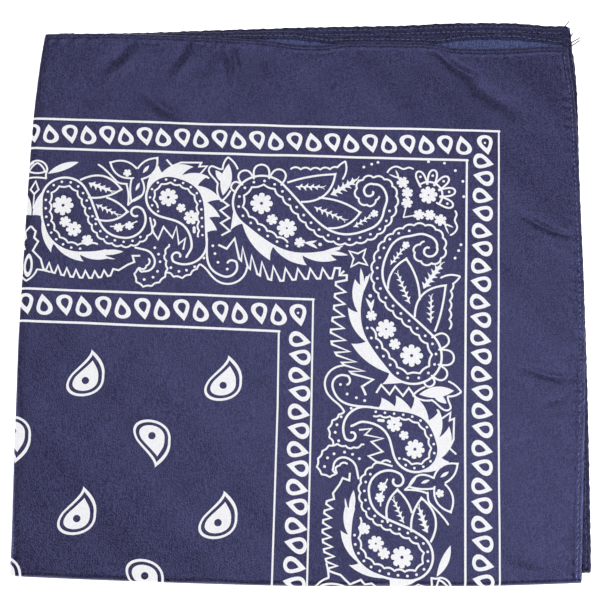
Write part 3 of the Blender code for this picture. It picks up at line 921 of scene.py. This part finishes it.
def spread(outline, points, loops=()):
    """A constrained triangulation of a closed outline with inner points and loops: points, triangles."""
    verts, edges, start = [], [], 0
    for loop in [outline, *loops]:
        verts.append(loop)
        n = len(loop)
        edges += [(start + i, start + (i + 1) % n) for i in range(n)]
        start += n
    taken = {(int(a), int(b)) for a, b in np.floor(np.vstack(verts) / 0.45)}
    cells = np.floor(points / 0.45).astype(int)
    free = [i for i, (a, b) in enumerate(cells) if (a, b) not in taken]
    verts.append(points[free])
    found = delaunay_2d_cdt([tuple(x) for x in np.vstack(verts)], edges, [], 0, 1e-5, True)
    flat = np.array([(v[0], v[1]) for v in found[0]])
    tris = np.array([f for f in found[2]], int)
    a, b, c = (flat[tris[:, k]] for k in range(3))
    size = (b[:, 0] - a[:, 0]) * (c[:, 1] - a[:, 1]) - (b[:, 1] - a[:, 1]) * (c[:, 0] - a[:, 0])
    tris[size < 0] = tris[size < 0][:, ::-1]
    tris = tris[(np.abs(size) > 1e-7)]
    tris = tris[inside(flat[tris].mean(1), outline)]
    return flat, tris


def border_of(tris):
    """The loops of edges that only one triangle uses, in order, as one loop."""
    pairs = np.vstack([tris[:, [0, 1]], tris[:, [1, 2]], tris[:, [2, 0]]])
    have = {(int(a), int(b)) for a, b in pairs}
    follow = {a: b for a, b in have if (b, a) not in have}
    first = next(iter(follow))
    chain = [first]
    while follow[chain[-1]] != first:
        chain.append(follow[chain[-1]])
        if len(chain) > len(follow):
            break
    return chain


def normals_of(place, p, q, lift):
    e = 0.05
    across = place(p + e, q, lift) - place(p - e, q, lift)
    up = place(p, q + e, lift) - place(p, q - e, lift)
    n = np.cross(across, up)
    return n / np.maximum(np.linalg.norm(n, axis=1), 1e-12)[:, None]


def make(name, points, faces, materials, slots=None, normals=None, uv=None, smooth=True):
    mesh = bpy.data.meshes.new(name)
    mesh.from_pydata(((np.asarray(points) - CENTRE + (0, 0, 0.06)) * MM).tolist(), [], [list(map(int, f)) for f in faces])
    for m in materials:
        mesh.materials.append(m)
    if slots is not None:
        mesh.polygons.foreach_set("material_index", np.asarray(slots, np.int32))
    mesh.polygons.foreach_set("use_smooth", np.full(len(mesh.polygons), smooth))
    if uv is not None:
        layer = mesh.uv_layers.new(name="OFBake")
        layer.data.foreach_set("uv", np.asarray(uv, np.float32).ravel())
    mesh.update()
    if normals is not None:
        mesh.normals_split_custom_set(normals.tolist())
    obj = bpy.data.objects.new(name, mesh)
    bpy.context.scene.collection.objects.link(obj)
    return obj


def cloth(name, place, outline, fine, coarse, materials, shapes=()):
    """A closed thin shell of cloth: the face holds the print, and the other side is plain."""
    loops, tests = [], []
    for group, bare in shapes:
        kept = [finer(x) for x in group], [finer(x) for x in bare]
        loops += kept[0] + kept[1]
        tests.append(kept)
    flat, tris = spread(outline, fine, loops)
    used = np.unique(tris)
    place_of = np.full(len(flat), -1)
    place_of[used] = np.arange(len(used))
    flat, tris = flat[used], place_of[tris]
    middle = flat[tris].mean(1)
    inked = np.zeros(len(tris), bool)
    for group, bare in tests:
        hit = np.zeros(len(tris), bool)
        for x in group:
            hit |= inside(middle, x)
        for x in bare:
            hit &= ~inside(middle, x)
        inked |= hit
    chain = border_of(tris)
    under, under_tris = spread(flat[chain], coarse)
    used = np.unique(under_tris)
    place_of = np.full(len(under), -1)
    place_of[used] = np.arange(len(used))
    under, under_tris = under[used], place_of[under_tris]
    key = {(round(float(x), 3), round(float(y), 3)): i for i, (x, y) in enumerate(under)}
    below = [key.get((round(float(flat[i, 0]), 3), round(float(flat[i, 1]), 3)), -1) for i in chain]
    n = len(flat)
    points = np.vstack([place(flat[:, 0], flat[:, 1], THICK / 2), place(under[:, 0], under[:, 1], -THICK / 2)])
    up = normals_of(place, flat[:, 0], flat[:, 1], THICK / 2)
    down = -normals_of(place, under[:, 0], under[:, 1], -THICK / 2)
    faces = tris.tolist() + (under_tris[:, ::-1] + n).tolist()
    rim = []
    for k, i in enumerate(chain):
        j, a, b = chain[(k + 1) % len(chain)], below[k], below[(k + 1) % len(chain)]
        if a >= 0 and b >= 0:
            rim.append((i, a + n, b + n, j))
    faces += rim
    both = np.vstack([up, down])
    at = points[np.array(rim)]
    side = np.cross(at[:, 1] - at[:, 0], at[:, 2] - at[:, 0])
    side /= np.maximum(np.linalg.norm(side, axis=1), 1e-12)[:, None]
    corner = np.concatenate([tris.ravel(), (under_tris[:, ::-1] + n).ravel()])
    normals = np.vstack([both[corner], np.repeat(side, 4, axis=0)])
    low, high = outline.min(0), outline.max(0)

    def mapped(points, bottom, top):
        uv = (points - low) / (high - low) * 0.996 + 0.002
        return np.column_stack([uv[:, 0], bottom + uv[:, 1] * (top - bottom)])

    edge = np.array([[flat[i], under[a - n], under[b - n], flat[j]] for i, a, b, j in rim])
    strip = mapped(edge.reshape(-1, 2), 0.066, 0.0661).reshape(-1, 4, 2)
    share = np.arange(len(rim)) / len(rim)
    strip[:, :, 0] = np.stack([share, share, share + 0.9 / len(rim), share + 0.9 / len(rim)], axis=1)
    strip[:, :, 1] = np.array([0.074, 0.066, 0.066, 0.074])
    uv = np.vstack([mapped(flat[tris.ravel()], 0.08, 1.0), mapped(under[under_tris[:, ::-1].ravel()], 0.0, 0.06), strip.reshape(-1, 2)])
    slots = np.concatenate([inked.astype(int), np.full(len(under_tris), 2), np.zeros(len(rim), int)])
    print(name, "triangles", len(tris), len(under_tris), "rim", len(rim), "missing", sum(b < 0 for b in below), "inked", int(inked.sum()))
    return make(name, points, faces, materials, slots, normals, uv)


def grid(xs, ys):
    a, b = np.meshgrid(xs, ys)
    return np.column_stack([a.ravel(), b.ravel()])


def outer_outline(layer):
    """The front or back cloth's outline, flat: tucked past the left fold, seam at the bottom fold, two open edges."""
    front = layer == "front"

    def q_of(p, y):
        """Height up the flat cloth at which the folded layer reaches y."""
        low = along(BOTTOM_FOLD, "outer", plan_x(p, -148.0)) + ROUND + THICK / 2
        return y if front else low - math.pi * ROUND - (y - low)

    def end_p(q):
        return along(LEFT_FOLD, "outer", np.clip(q if front else mirrored(q), -149, 149)) + THICK / 2 + REACH - RUN[-1] - TUCK

    def mirrored(q):
        low = -145.5
        return low + (low - math.pi * ROUND - q)

    def plan_x(p, q):
        return fold_left(np.asarray(p, float), np.full(np.shape(p), q), 0.0, True)[0]

    ps = np.arange(-158.0, 142.5, 0.9)
    top = []
    for p in ps:
        y = float(along(TOP_EDGE, layer, plan_x(np.array([p]), 140.0))[0])
        q = float(np.ravel(q_of(np.array([p]), y))[0])
        right = float(along(RIGHT_EDGE, layer, y))
        if p >= float(end_p(q)) and p <= right - 0.5:
            top.append((p, q))
    seam = []
    for p in ps:
        x = float(plan_x(np.array([p]), -148.0)[0])
        q = float(along(BOTTOM_FOLD, "outer", x)) + ROUND + THICK / 2 - SEAM * ROUND
        right = float(along(RIGHT_EDGE, layer, -147.0))
        if p >= float(end_p(q)) and p <= right - 0.2:
            seam.append((p, q))
    q_top, q_seam = top[-1][1], seam[-1][1]
    sides_q = np.arange(min(q_top, q_seam), max(q_top, q_seam), 0.9)
    right, left = [], []
    for q in sides_q:
        if min(abs(q - q_top), abs(q - q_seam)) > 0.6:
            y = q if front else mirrored(q)
            right.append((float(along(RIGHT_EDGE, layer, y)), q))
    q0, q1 = sorted((top[0][1], seam[0][1]))
    for q in np.arange(q0, q1, 2.0):
        if min(q - q0, q1 - q) > 0.6:
            left.append((float(end_p(q)), q))
    if front:
        return np.array(seam + right + top[::-1] + left[::-1])
    return np.array(top + right + seam[::-1] + left[::-1])


def inner_points(outline, layer, step, fine):
    """Points to spread over the front or back cloth: close together at folds, hems and creases."""
    front = layer == "front"
    low, high = outline.min(0), outline.max(0)
    turn = 0.5 if fine else 0.6
    ps = np.concatenate([np.arange(low[0], -134.0, turn), np.arange(-134.0, high[0], step)])
    if front:
        qs = np.concatenate([np.arange(low[1], -143.0, turn), np.arange(-143.0, high[1], step)])
    else:
        qs = np.concatenate([np.arange(high[1], -155.0, -turn), np.arange(-155.0, low[1], -step)])
    points = grid(ps, qs)

    def depth(pts):
        y = pts[:, 1] if front else -145.5 + (-145.5 - math.pi * ROUND - pts[:, 1])
        x = fold_left(pts[:, 0], np.clip(y, -149, 149), 0.0, True)[0]
        return along(RIGHT_EDGE, layer, y) - pts[:, 0], along(TOP_EDGE, layer, x) - y

    if fine:
        extra = []
        deep = (0.22, 0.5, 0.85, 1.25, 1.65, 1.95, 2.3, 2.65, 2.95, 3.4, 3.8, 4.2, 4.7, 5.3)
        if front:
            s = np.arange(-151, 140, PITCH / 3)
            for d in deep:
                extra.append(np.column_stack([along(RIGHT_EDGE, layer, s) - d, s]))
            s = np.arange(-158, 140, PITCH / 3)
            x = fold_left(s, np.full(len(s), 135.0), 0.0, True)[0]
            for d in deep:
                extra.append(np.column_stack([s, along(TOP_EDGE, layer, x) - d]))
            close = grid(np.arange(-140, 141, 1.0), np.arange(-143, 137, 1.0))
            extra.append(close[np.abs(creases(close[:, 0], close[:, 1])) > 0.012])
            in_right, in_top = depth(points)
            points = points[np.minimum(in_right, in_top) > 5.8]
        points = np.vstack([points] + extra)
    keep = inside(points, outline)
    points = points[keep]
    # keep clear of the outline, so that no triangle there is thin
    cells = {(int(a), int(b)) for a, b in np.floor(finer(outline) / 0.18)}
    near = np.floor(points / 0.18).astype(int)
    clear = [not any((a + i, b + j) in cells for i in (-1, 0, 1) for j in (-1, 0, 1)) for a, b in near]
    return points[np.array(clear)]


def strip(name, path, inward, section, place, materials, wave=0.0):
    """A hem: a closed section of (d, lift) swept along an edge of flat points, d mm in from it."""
    path, inward = np.asarray(path, float), np.asarray(inward, float)
    s = np.concatenate([[0], np.cumsum(np.hypot(*np.diff(path, axis=0).T))])
    n, m = len(path), len(section)
    points = np.empty((n, m, 3))
    for j, (d, lift) in enumerate(section):
        pull = 1 - 0.22 * math.exp(-(((d - STITCH_IN) / 0.5) ** 2)) * (0.6 + 0.4 * np.cos(2 * math.pi * s / PITCH))
        swell = 1 + 0.10 * np.sin(s / 4.3 + 1.1 * np.sin(s / 13.0)) + 0.06 * np.sin(s / 1.9)
        off = wave * (np.sin(s / 9.1 + 1.0) + 0.6 * np.sin(s / 3.7) + 0.4 * np.sin(s / 1.7 + 2)) * (d > HEM - 1.4)
        at = path + inward * (d + off)[:, None]
        points[:, j] = place(at[:, 0], at[:, 1], lift * pull * swell)
    faces, uv = [], []
    for i in range(n - 1):
        for j in range(m):
            k = (j + 1) % m
            faces.append((i * m + j, i * m + k, (i + 1) * m + k, (i + 1) * m + j))
            a, b = i / (n - 1), (i + 1) / (n - 1)
            c, e = 0.02 + 0.9 * j / m, 0.02 + 0.9 * (j + 1) / m
            uv += [(a, c), (a, e), (b, e), (b, c)]
    ends = [tuple(range(m))[::-1], tuple((n - 1) * m + j for j in range(m))]
    for e, f in enumerate(ends):
        faces.append(f)
        uv += [(0.02 + 0.04 * e + 0.015 * math.cos(2 * math.pi * k / m), 0.97 + 0.015 * math.sin(2 * math.pi * k / m)) for k in range(m)]
    flat = points.reshape(-1, 3)
    # turn the faces outward
    volume = 0.0
    for f in faces[: 4 * m]:
        a, b, c = flat[f[0]], flat[f[1]], flat[f[2]]
        centre = flat[: 5 * m].mean(0)
        volume += float(np.dot(np.cross(b - a, c - a), a - centre))
    if volume < 0:
        faces = [f[::-1] for f in faces]
        uv = [x for f, k in zip(faces, np.cumsum([0] + [len(f) for f in faces[:-1]])) for x in uv[k : k + len(f)][::-1]]
    return make(name, flat, faces, materials, uv=uv)


def capsule(points, along_path, radius, rings=6, around=6):
    """A thread on a path of 3-D points, tapered at both ends."""
    p = np.asarray(along_path, float)
    t = np.gradient(p, axis=0)
    t /= np.linalg.norm(t, axis=1)[:, None]
    ref = np.array([0.0, 0.0, 1.0]) if abs(t[0][2]) < 0.8 else np.array([1.0, 0.0, 0.0])
    a = np.cross(t, ref)
    a /= np.linalg.norm(a, axis=1)[:, None]
    b = np.cross(t, a)
    size = np.full(len(p), radius)
    size[[0, -1]] *= 0.35
    ang = np.arange(around) * 2 * math.pi / around
    ring = p[:, None] + size[:, None, None] * (a[:, None] * np.cos(ang)[None, :, None] + b[:, None] * np.sin(ang)[None, :, None])
    base = len(points)
    faces = []
    for i in range(len(p) - 1):
        for j in range(around):
            k = (j + 1) % around
            faces.append((base + i * around + j, base + i * around + k, base + (i + 1) * around + k, base + (i + 1) * around + j))
    faces.append(tuple(base + j for j in range(around))[::-1])
    faces.append(tuple(base + (len(p) - 1) * around + j for j in range(around)))
    points.extend(ring.reshape(-1, 3).tolist())
    return faces


def stitches(name, rows, materials, radius=0.19):
    """Lockstitches along edges: rows of (path, inward, place, lift)."""
    points, faces = [], []
    for path, inward, place, lift in rows:
        path, inward = np.asarray(path, float), np.asarray(inward, float)
        line = path + inward * STITCH_IN
        s = np.concatenate([[0], np.cumsum(np.hypot(*np.diff(line, axis=0).T))])
        k = 0
        while (k + 1) * PITCH < s[-1]:
            at = k * PITCH + np.linspace(0.30, PITCH - 0.30, 5)
            p, q = np.interp(at, s, line[:, 0]), np.interp(at, s, line[:, 1])
            sunk = np.array([-0.13, 0.0, 0.04, 0.0, -0.13]) * (1 if lift > 0 else -1)
            faces += capsule(points, place(p, q, lift + sunk), radius)
            k += 1
    return make(name, points, faces, materials)


# ---- materials ----
def woven(name, light, dark, rough, speck=0.8, bump=0.42, sheen=0.05, gloss=0.80, tint=(0.41, 0.43, 1.0)):
    """Fine satin: threads run up the cloth, with tiny flecks where they pass under, and a slow mottle."""
    mat = bpy.data.materials.new(name)
    mat.use_nodes = True
    nodes, links = mat.node_tree.nodes, mat.node_tree.links
    shader = nodes["Principled BSDF"]
    shader.inputs["Roughness"].default_value = rough
    shader.inputs["Sheen Weight"].default_value = sheen
    shader.inputs["Sheen Roughness"].default_value = 0.4
    shader.inputs["Sheen Tint"].default_value = (0.75, 0.78, 1.0, 1.0)
    shader.inputs["Specular IOR Level"].default_value = gloss
    shader.inputs["Specular Tint"].default_value = (*tint, 1.0)
    place = nodes.new("ShaderNodeTexCoord")

    def noise(scale, stretch, detail, rough_detail=0.5):
        turn = nodes.new("ShaderNodeMapping")
        turn.inputs["Scale"].default_value = stretch
        tex = nodes.new("ShaderNodeTexNoise")
        tex.inputs["Scale"].default_value = scale
        tex.inputs["Detail"].default_value = detail
        tex.inputs["Roughness"].default_value = rough_detail
        links.new(place.outputs["Object"], turn.inputs["Vector"])
        links.new(turn.outputs["Vector"], tex.inputs["Vector"])
        return tex.outputs["Fac"]

    flecks = noise(1700.0, (1.0, 0.85, 1.0), 1.0, 0.5)
    threads = noise(900.0, (2.2, 0.35, 1.0), 1.0)
    mottle = noise(38.0, (1.0, 1.0, 1.0), 3.0)

    def math_node(kind, a, b):
        node = nodes.new("ShaderNodeMath")
        node.operation = kind
        for socket, value in zip(node.inputs, (a, b)):
            if isinstance(value, (int, float)):
                socket.default_value = value
            else:
                links.new(value, socket)
        return node.outputs[0]

    both = math_node("ADD", math_node("MULTIPLY", flecks, speck), math_node("MULTIPLY", threads, 0.75 - speck / 2))
    both = math_node("ADD", both, math_node("MULTIPLY", mottle, 0.03))
    spread_of = nodes.new("ShaderNodeMapRange")
    total = speck / 2 + (0.75 - speck / 2) / 2 + 0.015
    spread_of.inputs["From Min"].default_value = total - 0.085
    spread_of.inputs["From Max"].default_value = total + 0.085
    links.new(both, spread_of.inputs["Value"])
    mix = nodes.new("ShaderNodeMix")
    mix.data_type = "RGBA"
    mix.inputs["A"].default_value = (*dark, 1.0)
    mix.inputs["B"].default_value = (*light, 1.0)
    links.new(spread_of.outputs["Result"], mix.inputs["Factor"])
    links.new(mix.outputs["Result"], shader.inputs["Base Color"])
    relief = nodes.new("ShaderNodeBump")
    relief.inputs["Strength"].default_value = bump
    relief.inputs["Distance"].default_value = 0.00025
    links.new(both, relief.inputs["Height"])
    links.new(relief.outputs["Normal"], shader.inputs["Normal"])
    return mat


NAVY = woven("navy_satin", (0.028, 0.025, 0.062), (0.0, 0.0, 0.001), 0.31, bump=0.80, gloss=0.90)
INK_WHITE = woven("white_print", (0.755, 0.755, 0.775), (0.680, 0.680, 0.710), 0.55, bump=0.1, gloss=0.25, tint=(1, 1, 1))
# A duller copy of the navy satin, with less gloss: painted shade on the third layer's face, between the stacked layers
NAVY_SHADED = woven("navy_satin_painted_shade", (0.030, 0.027, 0.066), (0.0, 0.0, 0.001), 0.38, gloss=0.40)
REVERSE = woven("navy_reverse", (0.072, 0.088, 0.190), (0.018, 0.024, 0.066), 0.42, gloss=0.35)
HEM_CLOTH = woven("navy_hem", (0.032, 0.032, 0.074), (0.0, 0.0, 0.001), 0.38, gloss=0.32)
THREAD = woven("navy_thread", (0.118, 0.142, 0.240), (0.056, 0.067, 0.130), 0.45, gloss=0.4)
# A darker copy of the stitch thread: painted shade on the front layer's top stitches
SHADED_THREAD = woven("thread_painted_shade", (0.040, 0.038, 0.085), (0.014, 0.013, 0.035), 0.45, gloss=0.4)
TAIL_THREAD = woven("loose_thread", (0.030, 0.036, 0.048), (0.014, 0.017, 0.024), 0.5, bump=0.05, gloss=0.2)

# ---- the cloth ----
draw()
PRINT = [([on_cloth(x) for x in loops], [on_cloth(x) for x in bare]) for loops, bare in over_the_folds(INK)]


def reaches(shapes, outline):
    low, high = outline.min(0) - 1, outline.max(0) + 1
    kept = []
    for loops, bare in shapes:
        a = np.min([x.min(0) for x in loops], axis=0)
        b = np.max([x.max(0) for x in loops], axis=0)
        if (a < high).all() and (b > low).all():
            kept.append((loops, bare))
    return kept


pieces = {}
for layer in ("front", "back"):
    outline = outer_outline(layer)
    pieces[layer] = cloth(
        f"cloth_{layer}",
        outer_cloth,
        outline,
        inner_points(outline, layer, 2.0, True),
        inner_points(outline, layer, 2.6, False),
        (NAVY, INK_WHITE, REVERSE),
        reaches(PRINT, outline),
    )


def inner_outline():
    """The second and third layers as one sheet, round the nested fold; it starts inside the left rolls."""
    start = lambda q: along(LEFT_FOLD, "outer", q) + REACH + TUCK + 0.8
    low = lambda p: along(BOTTOM_FOLD, "nested", p) + NEST + THICK / 2
    down = lambda p, y: low(p) - math.pi * NEST - (y - low(p))
    ps = np.arange(-131.0, 146.0, 1.5)
    top = [(p, float(along(TOP_EDGE, "second", p)) - 0.4) for p in ps if p < float(along(RIGHT_EDGE, "second", 146)) - 0.9]
    end = [(p, float(down(p, along(TOP_EDGE, "third", p))) + 0.4) for p in ps if p < float(along(RIGHT_EDGE, "third", 146)) - 0.9]
    right = []
    for q in np.arange(end[-1][1] + 0.8, top[-1][1] - 0.6, 1.5):
        y = q if q > -142 else -139.5 - math.pi * NEST + (-139.5 - q)
        layer = "second" if q > -142 else "third"
        right.append((float(along(RIGHT_EDGE, layer, y)) - 0.4, q))
    left = [(-131.0, q) for q in np.arange(end[0][1] + 2, top[0][1] - 1, 3.0)]
    return np.array(end + right + top[::-1] + left[::-1])


outline = inner_outline()
low, high = outline.min(0), outline.max(0)
bend = np.arange(-144.0, -138.0, 0.22)
rows = np.concatenate([np.arange(low[1], -144.0, 3.0), bend, np.arange(-138.0, high[1] - 14, 3.0), np.arange(high[1] - 14, high[1], 1.2)])
points = grid(np.arange(low[0], high[0], 3.0), rows)
keep = inside(points, outline)
points = points[keep]
cells = {(int(a), int(b)) for a, b in np.floor(finer(outline) / 0.25)}
near = np.floor(points / 0.25).astype(int)
points = points[np.array([not any((a + i, b + j) in cells for i in (-1, 0, 1) for j in (-1, 0, 1)) for a, b in near])]
# the second layer's upper face is the reverse of the satin
# the third layer's face takes the duller satin copy, which paints shade there
pieces["inner"] = cloth("cloth_inner", inner_cloth, outline, points, points, (REVERSE, INK_WHITE, NAVY_SHADED))

# ---- hems ----
UNDER = (
    (0.35, -0.16), (0.24, -0.40), (0.42, -0.64), (0.90, -0.75), (1.70, -0.76), (2.30, -0.72), (2.90, -0.76),
    (3.60, -0.77), (4.00, -0.67), (4.15, -0.45), (4.00, -0.22), (3.50, -0.14), (2.30, -0.13), (1.00, -0.14),
)
BAND = (
    (0.30, -0.13), (0.04, 0.02), (-0.04, 0.28), (0.10, 0.52), (0.50, 0.68), (1.10, 0.74), (1.80, 0.74), (2.30, 0.70),
    (2.80, 0.74), (3.50, 0.76), (3.95, 0.68), (4.15, 0.48), (4.10, 0.28), (3.80, 0.14), (2.40, 0.12), (1.00, 0.10), (0.6, -0.06),
)
BACK_BAND = [(d, -lift) for d, lift in BAND]

STEP = 0.9
hem_rows = []


def top_path(layer):
    if layer in ("front", "back"):
        end = -140.5 + REACH - RUN[-1] - TUCK + 0.5
        p = np.arange(end, 200, STEP)
        x = fold_left(p, np.full(len(p), 135.0), 0.0, True)[0]
    else:
        p = np.arange(-130.6, 200, STEP)
        x = p
    y = along(TOP_EDGE, layer, x)
    keep = p < along(RIGHT_EDGE, layer, y) - 0.1
    p, x, y = p[keep], x[keep], y[keep]
    if layer == "back":
        low = along(BOTTOM_FOLD, "outer", x) + ROUND + THICK / 2
        return np.column_stack([p, low - math.pi * ROUND - (y - low)]), (0, 1)
    if layer == "third":
        low = along(BOTTOM_FOLD, "nested", x) + NEST + THICK / 2
        return np.column_stack([p, low - math.pi * NEST - (y - low)]), (0, 1)
    return np.column_stack([p, y]), (0, -1)


def right_path(layer):
    """The right edge, up from the middle of the bottom fold, short of the top hem that it passes under."""
    top = float(along(TOP_EDGE, layer, 134.0)) - 0.6
    if layer in ("front", "back"):
        low = float(along(BOTTOM_FOLD, "outer", 138.0)) + ROUND + THICK / 2
        seam = low - SEAM * ROUND
        if layer == "front":
            q = np.arange(seam, top, STEP)
            return np.column_stack([along(RIGHT_EDGE, layer, q), q]), (-1, 0)
        q = np.arange(low - math.pi * ROUND - (top - low), seam, STEP)
        y = np.where(low - q > math.pi * ROUND, 2 * low - math.pi * ROUND - q, low)
        return np.column_stack([along(RIGHT_EDGE, layer, y), q]), (-1, 0)
    low = float(along(BOTTOM_FOLD, "nested", 138.0)) + NEST + THICK / 2
    turn = low - math.pi / 2 * NEST
    if layer == "second":
        q = np.arange(turn, top, STEP)
        return np.column_stack([along(RIGHT_EDGE, layer, q), q]), (-1, 0)
    q = np.arange(low - math.pi * NEST - (top - low), turn, STEP)
    y = np.where(low - q > math.pi * NEST, 2 * low - math.pi * NEST - q, low)
    return np.column_stack([along(RIGHT_EDGE, layer, y), q]), (-1, 0)


threads, shaded_threads = [], []
for layer in ("front", "second", "third", "back"):
    place = outer_cloth if layer in ("front", "back") else inner_cloth
    section = {"front": UNDER, "second": BAND, "third": BAND, "back": BACK_BAND}[layer]
    for side, route in (("top", top_path), ("right", right_path)):
        path, inward = route(layer)
        if side == "right" and layer != "front":
            # the right hem is turned first, so it lies just under the top one
            path = path[:-2] if layer == "second" else path[2:]
        hem = strip(f"hem_{layer}_{side}_cloth", path, [inward] * len(path), section, place, (HEM_CLOTH,), wave=0.16)
        pieces[f"hem_{layer}_{side}"] = hem
        face, back = THICK / 2 + 0.03, 0.72
        lifts = {"front": (face,), "second": (back,), "third": (-face,), "back": (-back, 0.0)}[layer]
        for lift in lifts:
            row = (path[2:-2], np.array([inward] * (len(path) - 4)), place, lift)
            # the front layer's top stitches take the darker thread copy, painted shade
            (shaded_threads if (layer, side) == ("front", "top") else threads).append(row)
pieces["stitches"] = stitches("stitches", threads, (THREAD,))
pieces["stitches_top"] = stitches("stitches_top", shaded_threads, (SHADED_THREAD,))

# ---- thread tails at the open corner ----
TAILS = (
    ((132.6, 148.4, 3.1), (133.8, 149.7, 3.6), (134.9, 151.2, 3.2), (135.2, 152.2, 2.8)),
    ((135.9, 142.7, 3.3), (136.5, 143.8, 3.8), (137.1, 145.0, 3.2)),
    ((135.9, 139.3, 3.2), (138.2, 140.6, 3.9), (140.2, 142.0, 3.0), (141.3, 143.6, 1.8)),
    ((136.0, 137.7, 3.0), (138.6, 139.2, 3.4), (141.0, 141.8, 2.0)),
)
points, faces = [], []
for tail in TAILS:
    t = np.array(tail)
    s = np.linspace(0, len(t) - 1, 14)
    line_of = np.column_stack([np.interp(s, range(len(t)), t[:, k]) for k in range(3)])
    for _ in range(2):
        line_of[1:-1] = (line_of[:-2] + 2 * line_of[1:-1] + line_of[2:]) / 4
    faces += capsule(points, line_of, 0.30)
pieces["tails"] = make("thread_tails", points, faces, (TAIL_THREAD,))

# ---- what the pieces stand for ----
for name, obj in pieces.items():
    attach(obj, "root")
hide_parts("panel_front")
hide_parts("panels_inner")
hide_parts("panel_back")
for layer in ("front", "second", "third", "back"):
    for side in ("top", "right"):
        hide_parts(f"hem_{layer}_{side}")

# ---- the floor, the light and the camera ----
floor_mesh = bpy.data.meshes.new("floor")
floor_mesh.from_pydata([(-2.5, -2.5, 0), (2.5, -2.5, 0), (2.5, 2.5, 0), (-2.5, 2.5, 0)], [], [(0, 1, 2, 3)])
floor = bpy.data.objects.new("floor", floor_mesh)
bpy.context.scene.collection.objects.link(floor)
pale = bpy.data.materials.new("pale_floor")
pale.use_nodes = True
pale.node_tree.nodes["Principled BSDF"].inputs["Base Color"].default_value = (0.93, 0.93, 0.93, 1)
pale.node_tree.nodes["Principled BSDF"].inputs["Roughness"].default_value = 0.9
pale.node_tree.nodes["Principled BSDF"].inputs["Specular IOR Level"].default_value = 0.1
# a white table lit from below, so that shadows hardly show
pale.node_tree.nodes["Principled BSDF"].inputs["Emission Color"].default_value = (1, 1, 1, 1)
pale.node_tree.nodes["Principled BSDF"].inputs["Emission Strength"].default_value = 0.75
floor_mesh.materials.append(pale)

world = bpy.data.worlds.new("studio")
world.use_nodes = True
world.node_tree.nodes["Background"].inputs["Color"].default_value = (1.0, 1.0, 1.0, 1)
world.node_tree.nodes["Background"].inputs["Strength"].default_value = 0.36
bpy.context.scene.world = world


def lamp(name, place, aim, size, power, roll=0.0):
    data = bpy.data.lights.new(name, "AREA")
    data.shape = "RECTANGLE"
    data.size, data.size_y = size
    data.energy = power
    obj = bpy.data.objects.new(name, data)
    bpy.context.scene.collection.objects.link(obj)
    z = np.array(place, float) - np.array(aim, float)
    z /= np.linalg.norm(z)
    x = np.cross((0, 1, 0.01), z)
    x /= np.linalg.norm(x)
    y = np.cross(z, x)
    x, y = x * math.cos(roll) + y * math.sin(roll), y * math.cos(roll) - x * math.sin(roll)
    m = np.eye(4)
    m[:3, 0], m[:3, 1], m[:3, 2], m[:3, 3] = x, y, z, place
    obj.matrix_world = Matrix(m.tolist())
    return obj


lamp("key", (1.70, -0.35, 1.30), (0, 0, 0), (0.95, 0.95), 38.0)
lamp("sheen", (0.16, 0.22, 1.40), (0, 0, 0), (1.40, 0.54), 5.5, math.radians(-42))
lamp("fill", (-1.90, -0.40, 0.65), (0, 0, 0), (1.1, 1.1), 27.0)

ELEVATION, YAW, ROLL = math.radians(74.71), math.radians(-1.216), math.radians(2.89)
DISTANCE, FOCAL_PIXELS = 841.4, 1659.5
AIM = np.array([-3.19, -4.93, 0.0]) - CENTRE
away = np.array([math.sin(YAW) * math.cos(ELEVATION), -math.cos(YAW) * math.cos(ELEVATION), math.sin(ELEVATION)])
eye = (AIM + DISTANCE * away) * MM
right = np.cross(-away, (0, 0, 1))
right /= np.linalg.norm(right)
up = np.cross(right, -away)
x_axis = math.cos(ROLL) * right + math.sin(ROLL) * up
y_axis = -math.sin(ROLL) * right + math.cos(ROLL) * up
camera_data = bpy.data.cameras.new("camera")
camera_data.sensor_width = 36.0
camera_data.sensor_fit = "HORIZONTAL"
camera_data.lens = FOCAL_PIXELS / 600 * 36.0
camera_data.clip_start, camera_data.clip_end = 0.01, 20.0
camera = bpy.data.objects.new("camera", camera_data)
bpy.context.scene.collection.objects.link(camera)
m = np.eye(4)
m[:3, 0], m[:3, 1], m[:3, 2], m[:3, 3] = x_axis, y_axis, away, eye
camera.matrix_world = Matrix(m.tolist())
bpy.context.scene.camera = camera
bpy.context.scene.view_settings.view_transform = "Standard"

bpy.context.view_layer.update()
